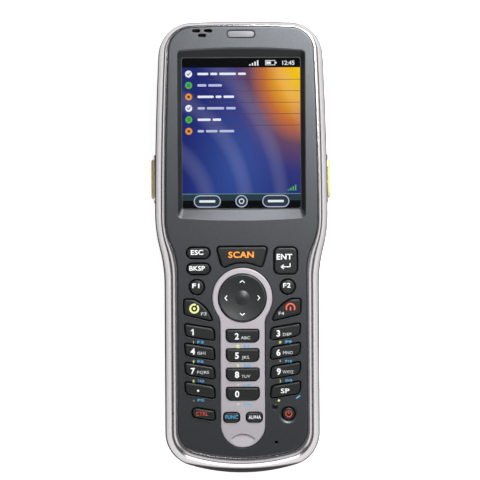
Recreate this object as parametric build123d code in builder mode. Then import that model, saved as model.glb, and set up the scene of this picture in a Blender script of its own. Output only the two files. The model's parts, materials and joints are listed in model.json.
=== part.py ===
"""Portable barcode data terminal, as an assembly of separate pieces.

Millimetres. The terminal lies on its back: +Z comes out of the display, +Y points to the
scan end and +X to the right of the person who reads the display. The origin lies on the
rear face, under the middle of the outline.
"""

import os
from math import cos, radians, sin, sqrt

from build123d import *

os.makedirs("parts", exist_ok=True)

# ---------------------------------------------------------------- outlines
# Each form is the right half of a closed outline that is symmetrical about the Y axis.
body_form = {
    "half_top": 31.0,  # half width where the side meets the top edge, before its rounding
    "half_wide": 33.3,  # half width at the widest place, beside the triggers
    "half_grip": 29.8,  # half width of the lower grip
    "top": 87.0,
    "bottom": -87.0,
    "swell": 13.0,  # where the side starts to curve in towards the grip
    "waist": -14.0,  # where the side has reached the grip's width
    "top_bow": 1.1,  # how far the top edge falls away at its ends
    "bottom_bow": 6.6,
    "corner_top": 13.0,
    "corner_bottom": 13.0,
}
trim_widths = {  # what the silver trim takes off the body's form to leave the bezel's
    "half_top": 3.4,
    "half_wide": 4.0,
    "half_grip": 5.0,
    "top": 2.3,
    "bottom": -6.2,
    "swell": 2.5,
    "waist": -4.5,
    "top_bow": 0.2,
    "bottom_bow": 2.2,
    "corner_top": 4.0,
    "corner_bottom": 4.0,
}
bezel_form = {name: body_form[name] - trim_widths[name] for name in body_form}

# ---------------------------------------------------------------- battery and its bay
battery_half = 16.9
battery_start = -48.2
battery_end = 11.8
battery_thickness = 10.6
battery_round = 1.5
battery_gap = 0.3
bay_wall = 1.4
door_thickness = 1.75
door_skin_z = 0.3  # the door stands back from the rest face by this much

# ---------------------------------------------------------------- heights, from the rear face
door_inner_z = door_skin_z + door_thickness
battery_back = door_inner_z + battery_gap / 2
battery_top = battery_back + battery_thickness
bay_roof = battery_top + battery_gap
board_clearance = 1.5  # between the bay's roof and the main board
main_board_z = bay_roof + bay_wall + board_clearance
part_rise = 3.0
part_line = main_board_z + part_rise  # rear housing below, silver trim above
trim_height = 8.6
trim_top = part_line + trim_height
bezel_thickness = 2.6
bezel_proud = 0.4  # how far the bezel's face stands above the trim
bezel_face = trim_top + bezel_proud
bezel_back = bezel_face - bezel_thickness
inlay_depth = 1.4
inlay_proud = 0.4
inlay_seat = bezel_face - inlay_depth
inlay_face = bezel_face + inlay_proud

# ---------------------------------------------------------------- shells
wall = 2.4
rear_wall = 2.4
rear_round = 6.0
trim_reach = 0.9  # how far the rounded trim runs in towards the bezel, as a share of its width
trim_angles = (0, 11, 22, 33, 45, 57, 68, 79, 90)  # stations of the trim's quarter-round section
trim_ledge = 1.0  # width and thickness of the ledge that carries the bezel
bezel_gap = 0.25
bezel_round = 0.6
inlay_gap = 0.3
inlay_chamfer = 0.35

# ---------------------------------------------------------------- display
display_top_half = 24.6  # opening of the recess at the bezel's face
display_top_end = 75.5
display_top_start = 11.2
display_bow = 1.0  # how far its ends bow outwards
display_corner = 1.8
screen_half = 22.7  # opening of the gasket: the visible screen
screen_start = 14.9
screen_end = 72.6
screen_corner = 0.8
screen_bow = 0.05
recess_margin = 0.25  # how far the bezel's inner edge stands back from the gasket's
gasket_thickness = 0.5
window_thickness = 1.2
window_half = 25.4
window_start = 11.8
window_end = 76.6
module_thickness = 3.6
module_inset = 0.4

# ---------------------------------------------------------------- front details
light_inset = 5.4
light_centre = body_form["top"] - light_inset
light_length = 10.8
light_width = 3.0
light_gap = 0.12
speaker_slot_length = 3.2
speaker_slot_width = 1.25
speaker_x = -14.9
speaker_drop = 0.5  # below the middle of the status light
speaker_place = (speaker_x, light_centre - speaker_drop)
speaker_size = (8.4, 3.8, 2.8)
speaker_corner = 1.0
speaker_slot_shifts = ((-2.3, 1.8), (2.3, 1.8), (0.0, 0.0))
mic_place = (12.8, -74.9)
mic_hole_radius = 0.65
mic_radius = 2.4
charge_place = (12.3, -61.3)
charge_radius = 1.0
charge_gap = 0.12

# ---------------------------------------------------------------- keypad
key_gap = 0.42  # between a key and the edge of its opening
key_flange = 0.85  # how far the hidden flange reaches past the key's own side
key_flange_thickness = 0.8
key_flange_gap = 0.1
key_round = 0.6
key_proud = 1.1
key_top = bezel_face + key_proud
key_travel = 0.8
key_plunger_radius = 1.5
key_plunger_length = 0.7
opening_chamfer = 0.2
mat_clearance = 0.1  # left above the mat's bump when a key is fully down

# X and Y of each opening's centre, then its length and height, and any corner radius
capsule_keys = {"esc_key": (-16.8, -2.2, 9.4, 4.7), "backspace_key": (-16.7, -8.3, 9.4, 4.7)}
block_keys = {
    "enter_key": (16.7, -5.3, 9.4, 10.7, 2.3),
    "func_key": (-4.35, -65.2, 6.7, 4.3, 1.7),
    "alpha_key": (4.35, -65.2, 6.7, 4.3, 1.7),
}
ctrl_key_place = (15.1, -63.8, 9.3, 4.3)
ctrl_key_corners = (2.0, 1.0, 1.3, 2.0)
round_keys = {"f1_key": (-17.4, -15.3), "f2_key": (17.4, -15.3)}
round_key_radius = 3.07

number_pitch = 7.4
side_key_x = 16.4  # centre of the left and right columns
side_key_y = -32.5
side_key_length = 11.7
side_key_height = 5.2
side_key_slope = 9.5
side_key_lean = 0.5  # how far the lower edge is shifted towards the middle
side_key_tight = 1.0
side_key_wide = 2.1
middle_key_y = -34.0
middle_key_length = 13.1
middle_key_height = 5.4
middle_key_tight = 1.0
middle_key_wide = 2.3

nav_y = -19.5
nav_radius = 9.15
nav_gap = 0.3
nav_proud = 0.9
nav_rim_top = bezel_face + nav_proud
nav_dish_depth = 0.85
nav_dome_radius = 3.0
nav_dome_height = 0.8
nav_skirt = 0.4  # how far the pad reaches below the bezel
nav_underside = bezel_back - nav_skirt
nav_rim_round = 0.5
nav_rim_land = 0.15
ball_radius = 1.5
ball_gap = 0.1
ball_drop = 1.25
ball_z = bezel_back - ball_drop
ball_pillar_radius = 2.6
ball_lip = 0.55  # from the ball's centre to the edges of its two sockets
ball_pillar_top = ball_z - ball_lip
ball_socket_bottom = ball_z + ball_lip

scan_top_half = 10.3
scan_bottom_half = 7.6
scan_top = 0.4
scan_bottom = -9.2  # its sides end here, inside the arc that takes its lower edge
scan_arc_radius = 13.3
scan_corner = 1.5
leaf_outer_top = (22.7, -19.6)
leaf_shoulder = (18.8, -19.7)
leaf_bulge = (14.2, -22.8)
leaf_tip = (11.1, -28.7)
leaf_outer_bottom = (22.5, -25.9)
leaf_corners = (1.2, 0.7, 1.6)  # radii at the outer top, the tip and the outer bottom

inlay_ring_radius = 11.5
inlay_half = 8.5
inlay_neck = 7.0
inlay_end_y = -68.2
dimple_y = -73.4  # where the thumb dimple is widest
dimple_half = 4.5
dimple_rise = 1.9  # from there to the top of its arched edge
dimple_run = 3.6  # from there to the end of its ramp
dimple_depth = 0.75

power_place = (17.5, -64.0)
power_radius = 2.75
power_dish_radius = 3.65
power_dish_depth = 0.5
power_proud = 0.2
power_top = bezel_face + power_proud

# ---------------------------------------------------------------- boards
mat_thickness = 0.6
mat_bump_radius = 1.8
mat_bump_height = 0.4
mat_inset = 2.0
mat_boss_gap = 0.4
board_boss_gap = 0.3
board_thickness = 1.4
keypad_board_half = 24.0
keypad_board_start = -78.0
keypad_board_end = 8.0
board_corner = 6.0
main_board_half = 20.8
main_board_corner = 2.0
main_board_start = -70.0
main_board_end = 72.0
board_post_radius = 1.5
board_post_places = ((-13.5, -44.0), (13.5, -44.0), (-13.5, 8.0), (13.5, 8.0))
chip_places = ((-8.0, 30.0, 14.0, 14.0), (10.0, 28.0, 11.0, 13.0), (0.0, -22.0, 20.0, 16.0))
chip_height = 1.2

# ---------------------------------------------------------------- screws
screw_places = ((-24.6, -66.0), (24.6, -66.0), (-24.6, -18.0), (24.6, -18.0), (-28.3, 41.0), (28.3, 41.0))
screw_head_radius = 1.9
screw_head_height = 1.4
screw_shank_radius = 1.0
screw_gap = 0.1
screw_pilot_gap = 0.05
screw_seat = 6.0
screw_tip_depth = 1.8  # from the bezel's back down to the ends of the screws
screw_tip = bezel_back - screw_tip_depth
screw_drive_width = 1.5
screw_drive_depth = 0.8
boss_radius = 3.0
boss_start = 3.0
trim_boss_radius = 2.3

# ---------------------------------------------------------------- battery door and latch
door_half = 19.0
door_hinge_y = -51.0
door_end = 16.5
door_gap = 0.3
door_seat_gap = 0.05
door_pin_radius = 0.55
door_pin_length = 1.1
door_pin_gap = 0.05
door_frame = 2.2
door_frame_top = 4.0
latch_half = 5.0
latch_length = 9.0
latch_thickness = 0.8
latch_gap = 0.15
latch_travel = 2.0
thumb_half = 3.2
thumb_length = 3.8
contact_places = (-4.5, -1.5, 1.5, 4.5)
contact_size = 1.2
contact_y = 7.5
contact_slot_gap = 0.4

# ---------------------------------------------------------------- scan end
engine_half = 11.0
engine_length = 20.2
engine_setback = 4.0
engine_front = body_form["top"] - engine_setback
engine_start = engine_front - engine_length
engine_rail_inset = 1.5
engine_rail_width = 2.0
engine_bottom = 4.6
engine_top = 14.8
engine_lens_radius = 3.4
engine_lens_depth = 2.5
window_end_half = 13.0
window_end_bottom = 5.4
window_end_top = 14.6
window_end_thickness = 1.5
window_end_gap = 0.15
window_end_ledge = 1.4
window_end_sill = 0.4

# ---------------------------------------------------------------- sides
trigger_y = 26.4
trigger_length = 15.4
trigger_z = 13.2
trigger_height = 6.4
trigger_proud = 1.5
trigger_travel = 0.8
trigger_gap = 0.3
trigger_round = 1.0
trigger_flange = 0.8
collar_width = 1.3  # raised collar round each trigger
collar_proud = 0.55
collar_round = 0.4
trigger_flange_thickness = 0.9
switch_length = 5.0
switch_width = 1.8
switch_height = 2.6
switch_clearance = 0.2  # left in front of the switch when the trigger is fully in
cover_thickness = 1.3
cover_gap = 0.2
cover_pin_radius = 0.35
cover_pin_length = 0.7
cover_pin_gap = 0.05
jack_cover_start = 48.0
jack_cover_end = 55.6
jack_cover_bottom = 9.0
jack_cover_top = 16.4
jack_radius = 1.8
jack_length = 12.0
jack_body = 6.2
jack_hole_radius = 2.9
jack_z = 12.8
card_door_start = 51.8
card_door_end = 69.0
card_door_bottom = 10.6
card_door_top = 16.6
card_socket_length = 15.0
card_socket_depth = 13.4
card_socket_height = 3.2
card_slot_height = 1.6
card_slot_margin = 1.0

# ---------------------------------------------------------------- bottom end
dock_face = -84.3
dock_half = 18.6
dock_bottom = 3.0
dock_top = 17.0
dock_wall = 2.8
dock_depth = 12.0
dock_ear_radius = 0.9
dock_lip = 1.2  # height of the trim's flat ledge above the dock bay
connector_half = 12.5
connector_bottom = 6.0
connector_top = 11.6
connector_gap = 0.2
connector_recess = 1.2
connector_depth = 8.0
contact_pad_count = 12
contact_pad_pitch = 1.9
contact_pad_width = 1.0
contact_pad_depth = 0.3

# ---------------------------------------------------------------- stylus and strap bars
stylus_x = 22.0
stylus_z = 5.6
stylus_radius = 2.0
stylus_tip_y = -10.0
stylus_tip_length = 5.0
stylus_tip_radius = 0.5
silo_gap = 0.3
silo_wall = 1.0
silo_setback = 2.0
strap_pocket_half = 9.0
strap_pocket_width = 8.0
strap_pocket_depth = 4.4
strap_places = (53.0, -66.0)
strap_bar_radius = 1.25
strap_bar_gap = 0.05
strap_bar_z = 1.9
strap_block_wall = 1.6
gasket_width = 1.0
gasket_depth = 0.5
gasket_gap = 0.05

past = 1.0  # how far a cut runs past the face that it opens


# ---------------------------------------------------------------- shared geometry
def outline(half_top, half_wide, half_grip, top, bottom, swell, waist, top_bow, bottom_bow,
            corner_top, corner_bottom):
    """Closed outline: bowed ends, long curved sides and an S-curve down to the grip."""
    with BuildSketch() as shape:
        with BuildLine():
            ThreePointArc((-half_top, top - top_bow), (0, top), (half_top, top - top_bow))
            ThreePointArc((-half_grip, bottom + bottom_bow), (0, bottom), (half_grip, bottom + bottom_bow))
            for side in (-1, 1):
                wide = (side * half_wide, swell)
                narrow = (side * half_grip, waist)
                middle = (side * (half_wide + half_grip) / 2, (swell + waist) / 2)
                TangentArc(wide, (side * half_top, top - top_bow), tangent=(0, 1))
                TangentArc(wide, middle, tangent=(0, -1))
                TangentArc(narrow, middle, tangent=(0, 1))
                Line(narrow, (side * half_grip, bottom + bottom_bow))
        make_face()
        fillet(shape.vertices().group_by(Axis.Y)[-1], corner_top)
        fillet(shape.vertices().group_by(Axis.Y)[0], corner_bottom)
    return shape.sketch


def blend(share):
    """Form that lies the given share of the way from the body's outline to the bezel's."""
    return {name: body_form[name] + share * (bezel_form[name] - body_form[name]) for name in body_form}


def grown(shape, amount):
    """The same outline, moved outwards by an amount, or inwards by a negative one."""
    with BuildSketch() as moved:
        add(shape)
        offset(amount=amount)
    return moved.sketch


def body_half_width(y):
    """Half width of the body above the swell, where the side is one long arc."""
    rise = body_form["top"] - body_form["top_bow"] - body_form["swell"]
    fall = body_form["half_wide"] - body_form["half_top"]
    side_radius = (rise**2 + fall**2) / (2 * fall)
    drop = side_radius - sqrt(side_radius**2 - (y - body_form["swell"]) ** 2)
    return body_form["half_wide"] - drop


def dock_ledge():
    """Flat-ended ledge with a rounded ear on each side, as wide as the dock bay."""
    with BuildSketch() as ledge:
        with Locations((0, dock_face + dock_wall / 2)):
            Rectangle(2 * dock_half, dock_wall)
        with Locations((-dock_half, dock_face + dock_ear_radius), (dock_half, dock_face + dock_ear_radius)):
            Circle(dock_ear_radius)
    return ledge.sketch


def span(low, high):
    """Middle and length of a stretch."""
    return (low + high) / 2, high - low


def keep(piece, name):
    """Labels a finished piece and writes it as the node of that name."""
    piece.part.label = name
    export_step(piece.part, f"parts/{name}.step")


body_outline = outline(**body_form)
bezel_outline = outline(**bezel_form)


def bowed_opening(half, start, end, bow, corner):
    """Opening with straight sides and ends that bow outwards."""
    with BuildSketch() as opening:
        with BuildLine():
            ThreePointArc((-half, end), (0, end + bow), (half, end))
            Line((half, end), (half, start))
            ThreePointArc((half, start), (0, start - bow), (-half, start))
            Line((-half, start), (-half, end))
        make_face()
        fillet(opening.vertices(), corner)
    return opening.sketch


# ---------------------------------------------------------------- openings of the keypad
def capsule_opening(x, y, length, height):
    """Opening of a key with two full-round ends."""
    with BuildSketch() as opening:
        with Locations((x, y)):
            SlotOverall(length, height)
    return opening.sketch


def round_opening(x, y, radius):
    """Opening of a round key."""
    with BuildSketch() as opening:
        with Locations((x, y)):
            Circle(radius)
    return opening.sketch


def block_opening(x, y, length, height, corner):
    """Opening of a square-cut key with equal corners."""
    with BuildSketch() as opening:
        with Locations((x, y)):
            RectangleRounded(length, height, corner)
    return opening.sketch


def middle_opening(y):
    """Opening of a middle number key, with tight upper and wide lower corners."""
    with BuildSketch() as opening:
        with Locations((0, y)):
            Rectangle(middle_key_length, middle_key_height)
        fillet(opening.vertices().group_by(Axis.Y)[-1], middle_key_tight)
        fillet(opening.vertices().group_by(Axis.Y)[0], middle_key_wide)
    return opening.sketch


def leaning_opening(side, x, y, length, height, radii):
    """Opening of an outer key: a leaning block that slopes down towards the middle.

    The radii are those of the outer top, inner top, inner bottom and outer bottom corners.
    """
    fall = length / 2 * sin(radians(side_key_slope))
    half = length / 2
    corners = {
        "outer_top": (side * (x + half + side_key_lean / 2), y + height / 2 + fall),
        "inner_top": (side * (x - half + side_key_lean / 2), y + height / 2 - fall),
        "inner_bottom": (side * (x - half - side_key_lean / 2), y - height / 2 - fall),
        "outer_bottom": (side * (x + half - side_key_lean / 2), y - height / 2 + fall),
    }
    with BuildSketch() as opening:
        with BuildLine():
            Polyline(*corners.values(), close=True)
        make_face()
        for corner, radius in zip(corners, radii):
            near = opening.vertices().sort_by_distance((*corners[corner], 0))[0]
            fillet(near, radius)
    return opening.sketch


def leaf_opening(side):
    """Opening of the leaf-shaped call keys beside the navigation pad."""
    points = (leaf_outer_top, leaf_shoulder, leaf_bulge, leaf_tip, leaf_outer_bottom)
    outer_top, shoulder, bulge, tip, outer_bottom = [(side * x, y) for x, y in points]
    with BuildSketch() as opening:
        with BuildLine():
            Line(outer_top, shoulder)
            ThreePointArc(shoulder, bulge, tip)
            Polyline(tip, outer_bottom, outer_top)
        make_face()
        for corner, radius in zip((outer_top, tip, outer_bottom), leaf_corners):
            near = opening.vertices().sort_by_distance((*corner, 0))[0]
            fillet(near, radius)
    return opening.sketch


def scan_opening():
    """Opening of the scan key: its lower edge runs round the navigation ring."""
    with BuildSketch() as opening:
        with BuildLine():
            Polyline(
                (-scan_top_half, scan_top),
                (scan_top_half, scan_top),
                (scan_bottom_half, scan_bottom),
                (-scan_bottom_half, scan_bottom),
                close=True,
            )
        make_face()
        with Locations((0, nav_y)):
            Circle(scan_arc_radius, mode=Mode.SUBTRACT)
        fillet(opening.vertices(), scan_corner)
    return opening.sketch


key_openings = {
    "scan_key": scan_opening(),
    "send_key": leaf_opening(-1),
    "end_key": leaf_opening(1),
    "ctrl_key": leaning_opening(-1, *ctrl_key_place, ctrl_key_corners),
}
for name, place in capsule_keys.items():
    key_openings[name] = capsule_opening(*place)
for name, place in block_keys.items():
    key_openings[name] = block_opening(*place)
for name, place in round_keys.items():
    key_openings[name] = round_opening(*place, round_key_radius)
number_rows = (
    ("key_1", "key_2", "key_3"),
    ("key_4", "key_5", "key_6"),
    ("key_7", "key_8", "key_9"),
    ("dot_key", "key_0", "space_key"),
)
side_key_radii = (side_key_tight, side_key_wide, side_key_tight, side_key_wide)
for row, (left_name, middle_name, right_name) in enumerate(number_rows):
    row_y = side_key_y - row * number_pitch
    for side, name in ((-1, left_name), (1, right_name)):
        key_openings[name] = leaning_opening(
            side, side_key_x, row_y, side_key_length, side_key_height, side_key_radii
        )
    key_openings[middle_name] = middle_opening(middle_key_y - row * number_pitch)
power_opening = round_opening(*power_place, power_radius)
nav_opening = round_opening(0, nav_y, nav_radius + nav_gap)
inlay_keys = ("key_2", "key_5", "key_8", "key_0", "func_key", "alpha_key")

with BuildSketch() as inlay_shape:
    with Locations((0, nav_y)):
        Circle(inlay_ring_radius)
    middle, length = span(inlay_end_y, nav_y)
    with Locations((0, middle)):
        Rectangle(2 * inlay_half, length)
    with Locations((0, inlay_end_y)):
        Circle(inlay_half)
    neck_y = nav_y - sqrt(inlay_ring_radius**2 - inlay_half**2)
    for side in (-1, 1):
        neck = inlay_shape.vertices().sort_by_distance((side * inlay_half, neck_y, 0))[0]
        fillet(neck, inlay_neck)
inlay_outline = inlay_shape.sketch

# ---------------------------------------------------------------- silver trim
with BuildPart() as silver_trim:
    for angle in trim_angles:
        share = trim_reach * (1 - cos(radians(angle)))
        height = part_line + (trim_top - part_line) * sin(radians(angle))
        station = outline(**blend(share))
        with BuildSketch(Plane.XY.offset(height)):
            add(station)
    loft(ruled=True)
    with BuildSketch(Plane.XY.offset(part_line)):
        add(grown(body_outline, -wall))
    extrude(amount=bezel_back - trim_ledge - part_line, mode=Mode.SUBTRACT)
    with BuildSketch(Plane.XY.offset(bezel_back - trim_ledge)):
        add(grown(bezel_outline, -trim_ledge))
    extrude(amount=trim_ledge, mode=Mode.SUBTRACT)
    with BuildSketch(Plane.XY.offset(bezel_back)):
        add(grown(bezel_outline, bezel_gap))
    extrude(amount=trim_top - bezel_back + past, mode=Mode.SUBTRACT)
    with BuildSketch(Plane.XY.offset(part_line)):
        with Locations(*screw_places):
            Circle(trim_boss_radius)
    extrude(amount=bezel_back - trim_ledge - part_line)
    with BuildSketch(Plane.XY.offset(part_line)):
        with Locations(*screw_places):
            Circle(screw_shank_radius + screw_pilot_gap)
    extrude(amount=screw_tip + screw_gap - part_line, mode=Mode.SUBTRACT)
    with BuildSketch(Plane.XY.offset(part_line)):
        add(dock_ledge())
    extrude(amount=dock_lip)
keep(silver_trim, "silver_trim")

# ---------------------------------------------------------------- front bezel
with BuildPart() as front_bezel:
    with BuildSketch(Plane.XY.offset(bezel_back)):
        add(bezel_outline)
    extrude(amount=bezel_face - bezel_back)
    fillet(front_bezel.edges().group_by(Axis.Z)[-1], bezel_round)
    with BuildSketch(Plane.XY.offset(bezel_back)):
        add(bowed_opening(
            screen_half + recess_margin,
            screen_start - recess_margin,
            screen_end + recess_margin,
            screen_bow,
            screen_corner,
        ))
    with BuildSketch(Plane.XY.offset(bezel_face)):
        add(bowed_opening(
            display_top_half, display_top_start, display_top_end, display_bow, display_corner
        ))
    loft(mode=Mode.SUBTRACT)
    with BuildSketch(Plane.XY.offset(bezel_back)):
        for opening in (*key_openings.values(), power_opening, nav_opening):
            add(opening)
        with Locations((0, light_centre)):
            SlotOverall(light_length + 2 * light_gap, light_width + 2 * light_gap)
        with Locations(speaker_place):
            with Locations(*speaker_slot_shifts):
                SlotOverall(speaker_slot_length, speaker_slot_width)
        with Locations(mic_place):
            Circle(mic_hole_radius)
        with Locations(charge_place):
            Circle(charge_radius + charge_gap)
    extrude(amount=bezel_face - bezel_back, mode=Mode.SUBTRACT)
    with BuildSketch(Plane.XY.offset(bezel_face)):
        for name, opening in key_openings.items():
            if name not in inlay_keys:
                add(grown(opening, opening_chamfer))
    extrude(amount=-opening_chamfer, taper=45, mode=Mode.SUBTRACT)
    with BuildSketch(Plane.XY.offset(inlay_seat)):
        add(grown(inlay_outline, inlay_gap))
    extrude(amount=bezel_face - inlay_seat, mode=Mode.SUBTRACT)
    with Locations((*power_place, bezel_face - power_dish_depth / 2)):
        Cone(power_radius, power_dish_radius, power_dish_depth, mode=Mode.SUBTRACT)
keep(front_bezel, "front_bezel")


# ---------------------------------------------------------------- keypad inlay
def thumb_scoop():
    """Cutter for the thumb dimple: a steep arched edge, and a floor that ramps up to the face."""
    top = (0, dimple_y + dimple_rise)
    end = (0, dimple_y - dimple_run)
    sides = ((-dimple_half, dimple_y), (dimple_half, dimple_y))
    ramp = dimple_depth / (dimple_rise + dimple_run)
    with BuildPart() as scoop:
        with BuildSketch(Plane.XY.offset(inlay_face - dimple_depth)):
            with BuildLine():
                ThreePointArc(sides[0], top, sides[1])
                ThreePointArc(sides[1], end, sides[0])
            make_face()
        extrude(amount=dimple_depth + past)
        split(bisect_by=Plane(origin=(*end, inlay_face), z_dir=(0, ramp, 1)), keep=Keep.TOP)
    return scoop.part


with BuildPart() as keypad_inlay:
    with BuildSketch(Plane.XY.offset(inlay_seat)):
        add(inlay_outline)
    extrude(amount=inlay_face - inlay_seat)
    chamfer(keypad_inlay.edges().group_by(Axis.Z)[-1], inlay_chamfer)
    with BuildSketch(Plane.XY.offset(inlay_seat)):
        for name in inlay_keys:
            add(key_openings[name])
        add(nav_opening)
    extrude(amount=inlay_face - inlay_seat, mode=Mode.SUBTRACT)
    add(thumb_scoop(), mode=Mode.SUBTRACT)
keep(keypad_inlay, "keypad_inlay")


# ---------------------------------------------------------------- keys
def make_key(name, opening, top, plunger_place):
    """One key: a cap that fills its opening, a hidden flange and a plunger above the mat."""
    flange_top = bezel_back - key_flange_gap
    flange_bottom = flange_top - key_flange_thickness
    with BuildPart() as key:
        with BuildSketch(Plane.XY.offset(flange_bottom)):
            add(grown(opening, -key_gap))
        extrude(amount=top - flange_bottom)
        fillet(key.edges().group_by(Axis.Z)[-1], key_round)
        with BuildSketch(Plane.XY.offset(flange_bottom)):
            add(grown(opening, key_flange - key_gap))
        extrude(amount=key_flange_thickness)
        with BuildSketch(Plane.XY.offset(flange_bottom)):
            with Locations(plunger_place):
                Circle(key_plunger_radius)
        extrude(amount=-key_plunger_length)
    keep(key, name)


plunger_bottom = bezel_back - key_flange_gap - key_flange_thickness - key_plunger_length
bump_top = plunger_bottom - key_travel - mat_clearance
plunger_places = {}
for name, opening in key_openings.items():
    centre = opening.face().center()
    plunger_places[name] = (centre.X, centre.Y)
    make_key(name, opening, key_top, plunger_places[name])
plunger_places["power_key"] = power_place
make_key("power_key", power_opening, power_top, power_place)

# ---------------------------------------------------------------- navigation pad and its ball
with BuildPart() as nav_pad:
    with Locations((0, nav_y, nav_underside)):
        Cylinder(nav_radius, nav_rim_top - nav_underside, align=(Align.CENTER, Align.CENTER, Align.MIN))
    fillet(nav_pad.edges().group_by(Axis.Z)[-1], nav_rim_round)
    dish_edge = nav_radius - nav_rim_round - nav_rim_land
    dish_radius = (dish_edge**2 + nav_dish_depth**2) / (2 * nav_dish_depth)
    dish_floor = nav_rim_top - nav_dish_depth
    with Locations((0, nav_y, dish_floor + dish_radius)):
        Sphere(dish_radius, mode=Mode.SUBTRACT)
    with BuildSketch(Plane.XZ.offset(-nav_y)):
        with BuildLine():
            TangentArc((0, dish_floor + nav_dome_height), (nav_dome_radius, dish_floor), tangent=(1, 0))
            Polyline(
                (nav_dome_radius, dish_floor),
                (nav_dome_radius, dish_floor - nav_dome_height),
                (0, dish_floor - nav_dome_height),
                (0, dish_floor + nav_dome_height),
            )
        make_face()
    revolve(axis=Axis((0, nav_y, 0), (0, 0, 1)))
    with BuildSketch(Plane.XY.offset(nav_underside)):
        with Locations((0, nav_y)):
            Circle(ball_pillar_radius)
    extrude(amount=ball_socket_bottom - nav_underside)
    with Locations((0, nav_y, ball_z)):
        Sphere(ball_radius + ball_gap, mode=Mode.SUBTRACT)
keep(nav_pad, "nav_pad")

with BuildPart() as nav_ball:
    with Locations((0, nav_y, ball_z)):
        Sphere(ball_radius)
keep(nav_ball, "nav_ball")

# ---------------------------------------------------------------- keypad mat and board
mat_bottom = bump_top - mat_thickness - mat_bump_height
mat_top = mat_bottom + mat_thickness
keypad_middle, keypad_length = span(keypad_board_start, keypad_board_end)
with BuildPart() as keypad_mat:
    with BuildSketch(Plane.XY.offset(mat_bottom)):
        with Locations((0, keypad_middle)):
            RectangleRounded(
                2 * (keypad_board_half - mat_inset), keypad_length - 2 * mat_inset, board_corner
            )
        with Locations(*screw_places):
            Circle(trim_boss_radius + mat_boss_gap, mode=Mode.SUBTRACT)
        with Locations(mic_place):
            Circle(mic_radius + charge_gap, mode=Mode.SUBTRACT)
        with Locations(charge_place):
            Circle(charge_radius + charge_gap, mode=Mode.SUBTRACT)
    extrude(amount=mat_thickness)
    with BuildSketch(Plane.XY.offset(mat_top)):
        with Locations(*plunger_places.values()):
            Circle(mat_bump_radius)
    extrude(amount=bump_top - mat_top)
    with BuildSketch(Plane.XY.offset(mat_top)):
        with Locations((0, nav_y)):
            Circle(ball_pillar_radius)
    extrude(amount=ball_pillar_top - mat_top)
    with Locations((0, nav_y, ball_z)):
        Sphere(ball_radius + ball_gap, mode=Mode.SUBTRACT)
keep(keypad_mat, "keypad_mat")

with BuildPart() as keypad_board:
    with BuildSketch(Plane.XY.offset(mat_bottom)):
        with Locations((0, keypad_middle)):
            RectangleRounded(2 * keypad_board_half, keypad_length, board_corner)
        with Locations(*screw_places):
            Circle(trim_boss_radius + board_boss_gap, mode=Mode.SUBTRACT)
    extrude(amount=-board_thickness)
keep(keypad_board, "keypad_board")

# ---------------------------------------------------------------- display stack
with BuildPart() as display_gasket:
    outer_middle, outer_length = span(window_start, window_end)
    inner_middle, inner_length = span(screen_start, screen_end)
    with BuildSketch(Plane.XY.offset(bezel_back)):
        with Locations((0, outer_middle)):
            Rectangle(2 * window_half, outer_length)
        with Locations((0, inner_middle)):
            RectangleRounded(2 * screen_half, inner_length, screen_corner, mode=Mode.SUBTRACT)
    extrude(amount=-gasket_thickness)
keep(display_gasket, "display_gasket")

window_face = bezel_back - gasket_thickness
window_middle, window_length = span(window_start, window_end)
with BuildPart() as display_window:
    with Locations((0, window_middle, window_face)):
        Box(2 * window_half, window_length, window_thickness, align=(Align.CENTER, Align.CENTER, Align.MAX))
keep(display_window, "display_window")

with BuildPart() as lcd_module:
    with Locations((0, window_middle, window_face - window_thickness)):
        Box(
            2 * (window_half - module_inset),
            window_length - 2 * module_inset,
            module_thickness,
            align=(Align.CENTER, Align.CENTER, Align.MAX),
        )
keep(lcd_module, "lcd_module")

# ---------------------------------------------------------------- small front pieces
with BuildPart() as status_light_pipe:
    with BuildSketch(Plane.XY.offset(bezel_back)):
        with Locations((0, light_centre)):
            SlotOverall(light_length, light_width)
    extrude(amount=bezel_face - bezel_back + light_gap)
    chamfer(status_light_pipe.edges().group_by(Axis.Z)[-1], light_gap)
    with BuildSketch(Plane.XY.offset(bezel_back)):
        with Locations((0, light_centre)):
            SlotOverall(light_length + key_flange, light_width + key_flange)
    extrude(amount=-key_flange_thickness)
keep(status_light_pipe, "status_light_pipe")

with BuildPart() as charge_light:
    with BuildSketch(Plane.XY.offset(mat_bottom)):
        with Locations(charge_place):
            Circle(charge_radius)
    extrude(amount=bezel_face - mat_bottom)
keep(charge_light, "charge_light")

with BuildPart() as speaker:
    with Locations((*speaker_place, bezel_back)):
        Box(*speaker_size, align=(Align.CENTER, Align.CENTER, Align.MAX))
    fillet(speaker.edges().filter_by(Axis.Z), speaker_corner)
keep(speaker, "speaker")

with BuildPart() as microphone:
    with BuildSketch(Plane.XY.offset(mat_bottom)):
        with Locations(mic_place):
            Circle(mic_radius)
    extrude(amount=bezel_back - mat_bottom)
    with BuildSketch(Plane.XY.offset(bezel_back)):
        with Locations(mic_place):
            Circle(mic_hole_radius)
    extrude(amount=-mic_hole_radius, mode=Mode.SUBTRACT)
keep(microphone, "microphone")

# ---------------------------------------------------------------- rear housing
bay_half = battery_half + battery_gap
bay_start = battery_start - battery_gap
bay_end = battery_end + battery_gap
door_seat = door_inner_z + door_seat_gap
door_hinge_z = door_skin_z + door_thickness / 2
door_round = door_thickness / 2
recess_start = door_hinge_y - door_round - door_gap
recess_end = door_end + door_gap
recess_half = door_half + door_gap
trigger_inner_x = body_half_width(trigger_y + trigger_length / 2 + trigger_flange) - wall
silo_radius = stylus_radius + silo_gap


def side_plane(side, x, y, z):
    """Plane on a side wall that faces outwards, with its x axis along +Y."""
    return Plane(origin=(side * x, y, z), x_dir=(0, 1, 0), z_dir=(side, 0, 0))


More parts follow.
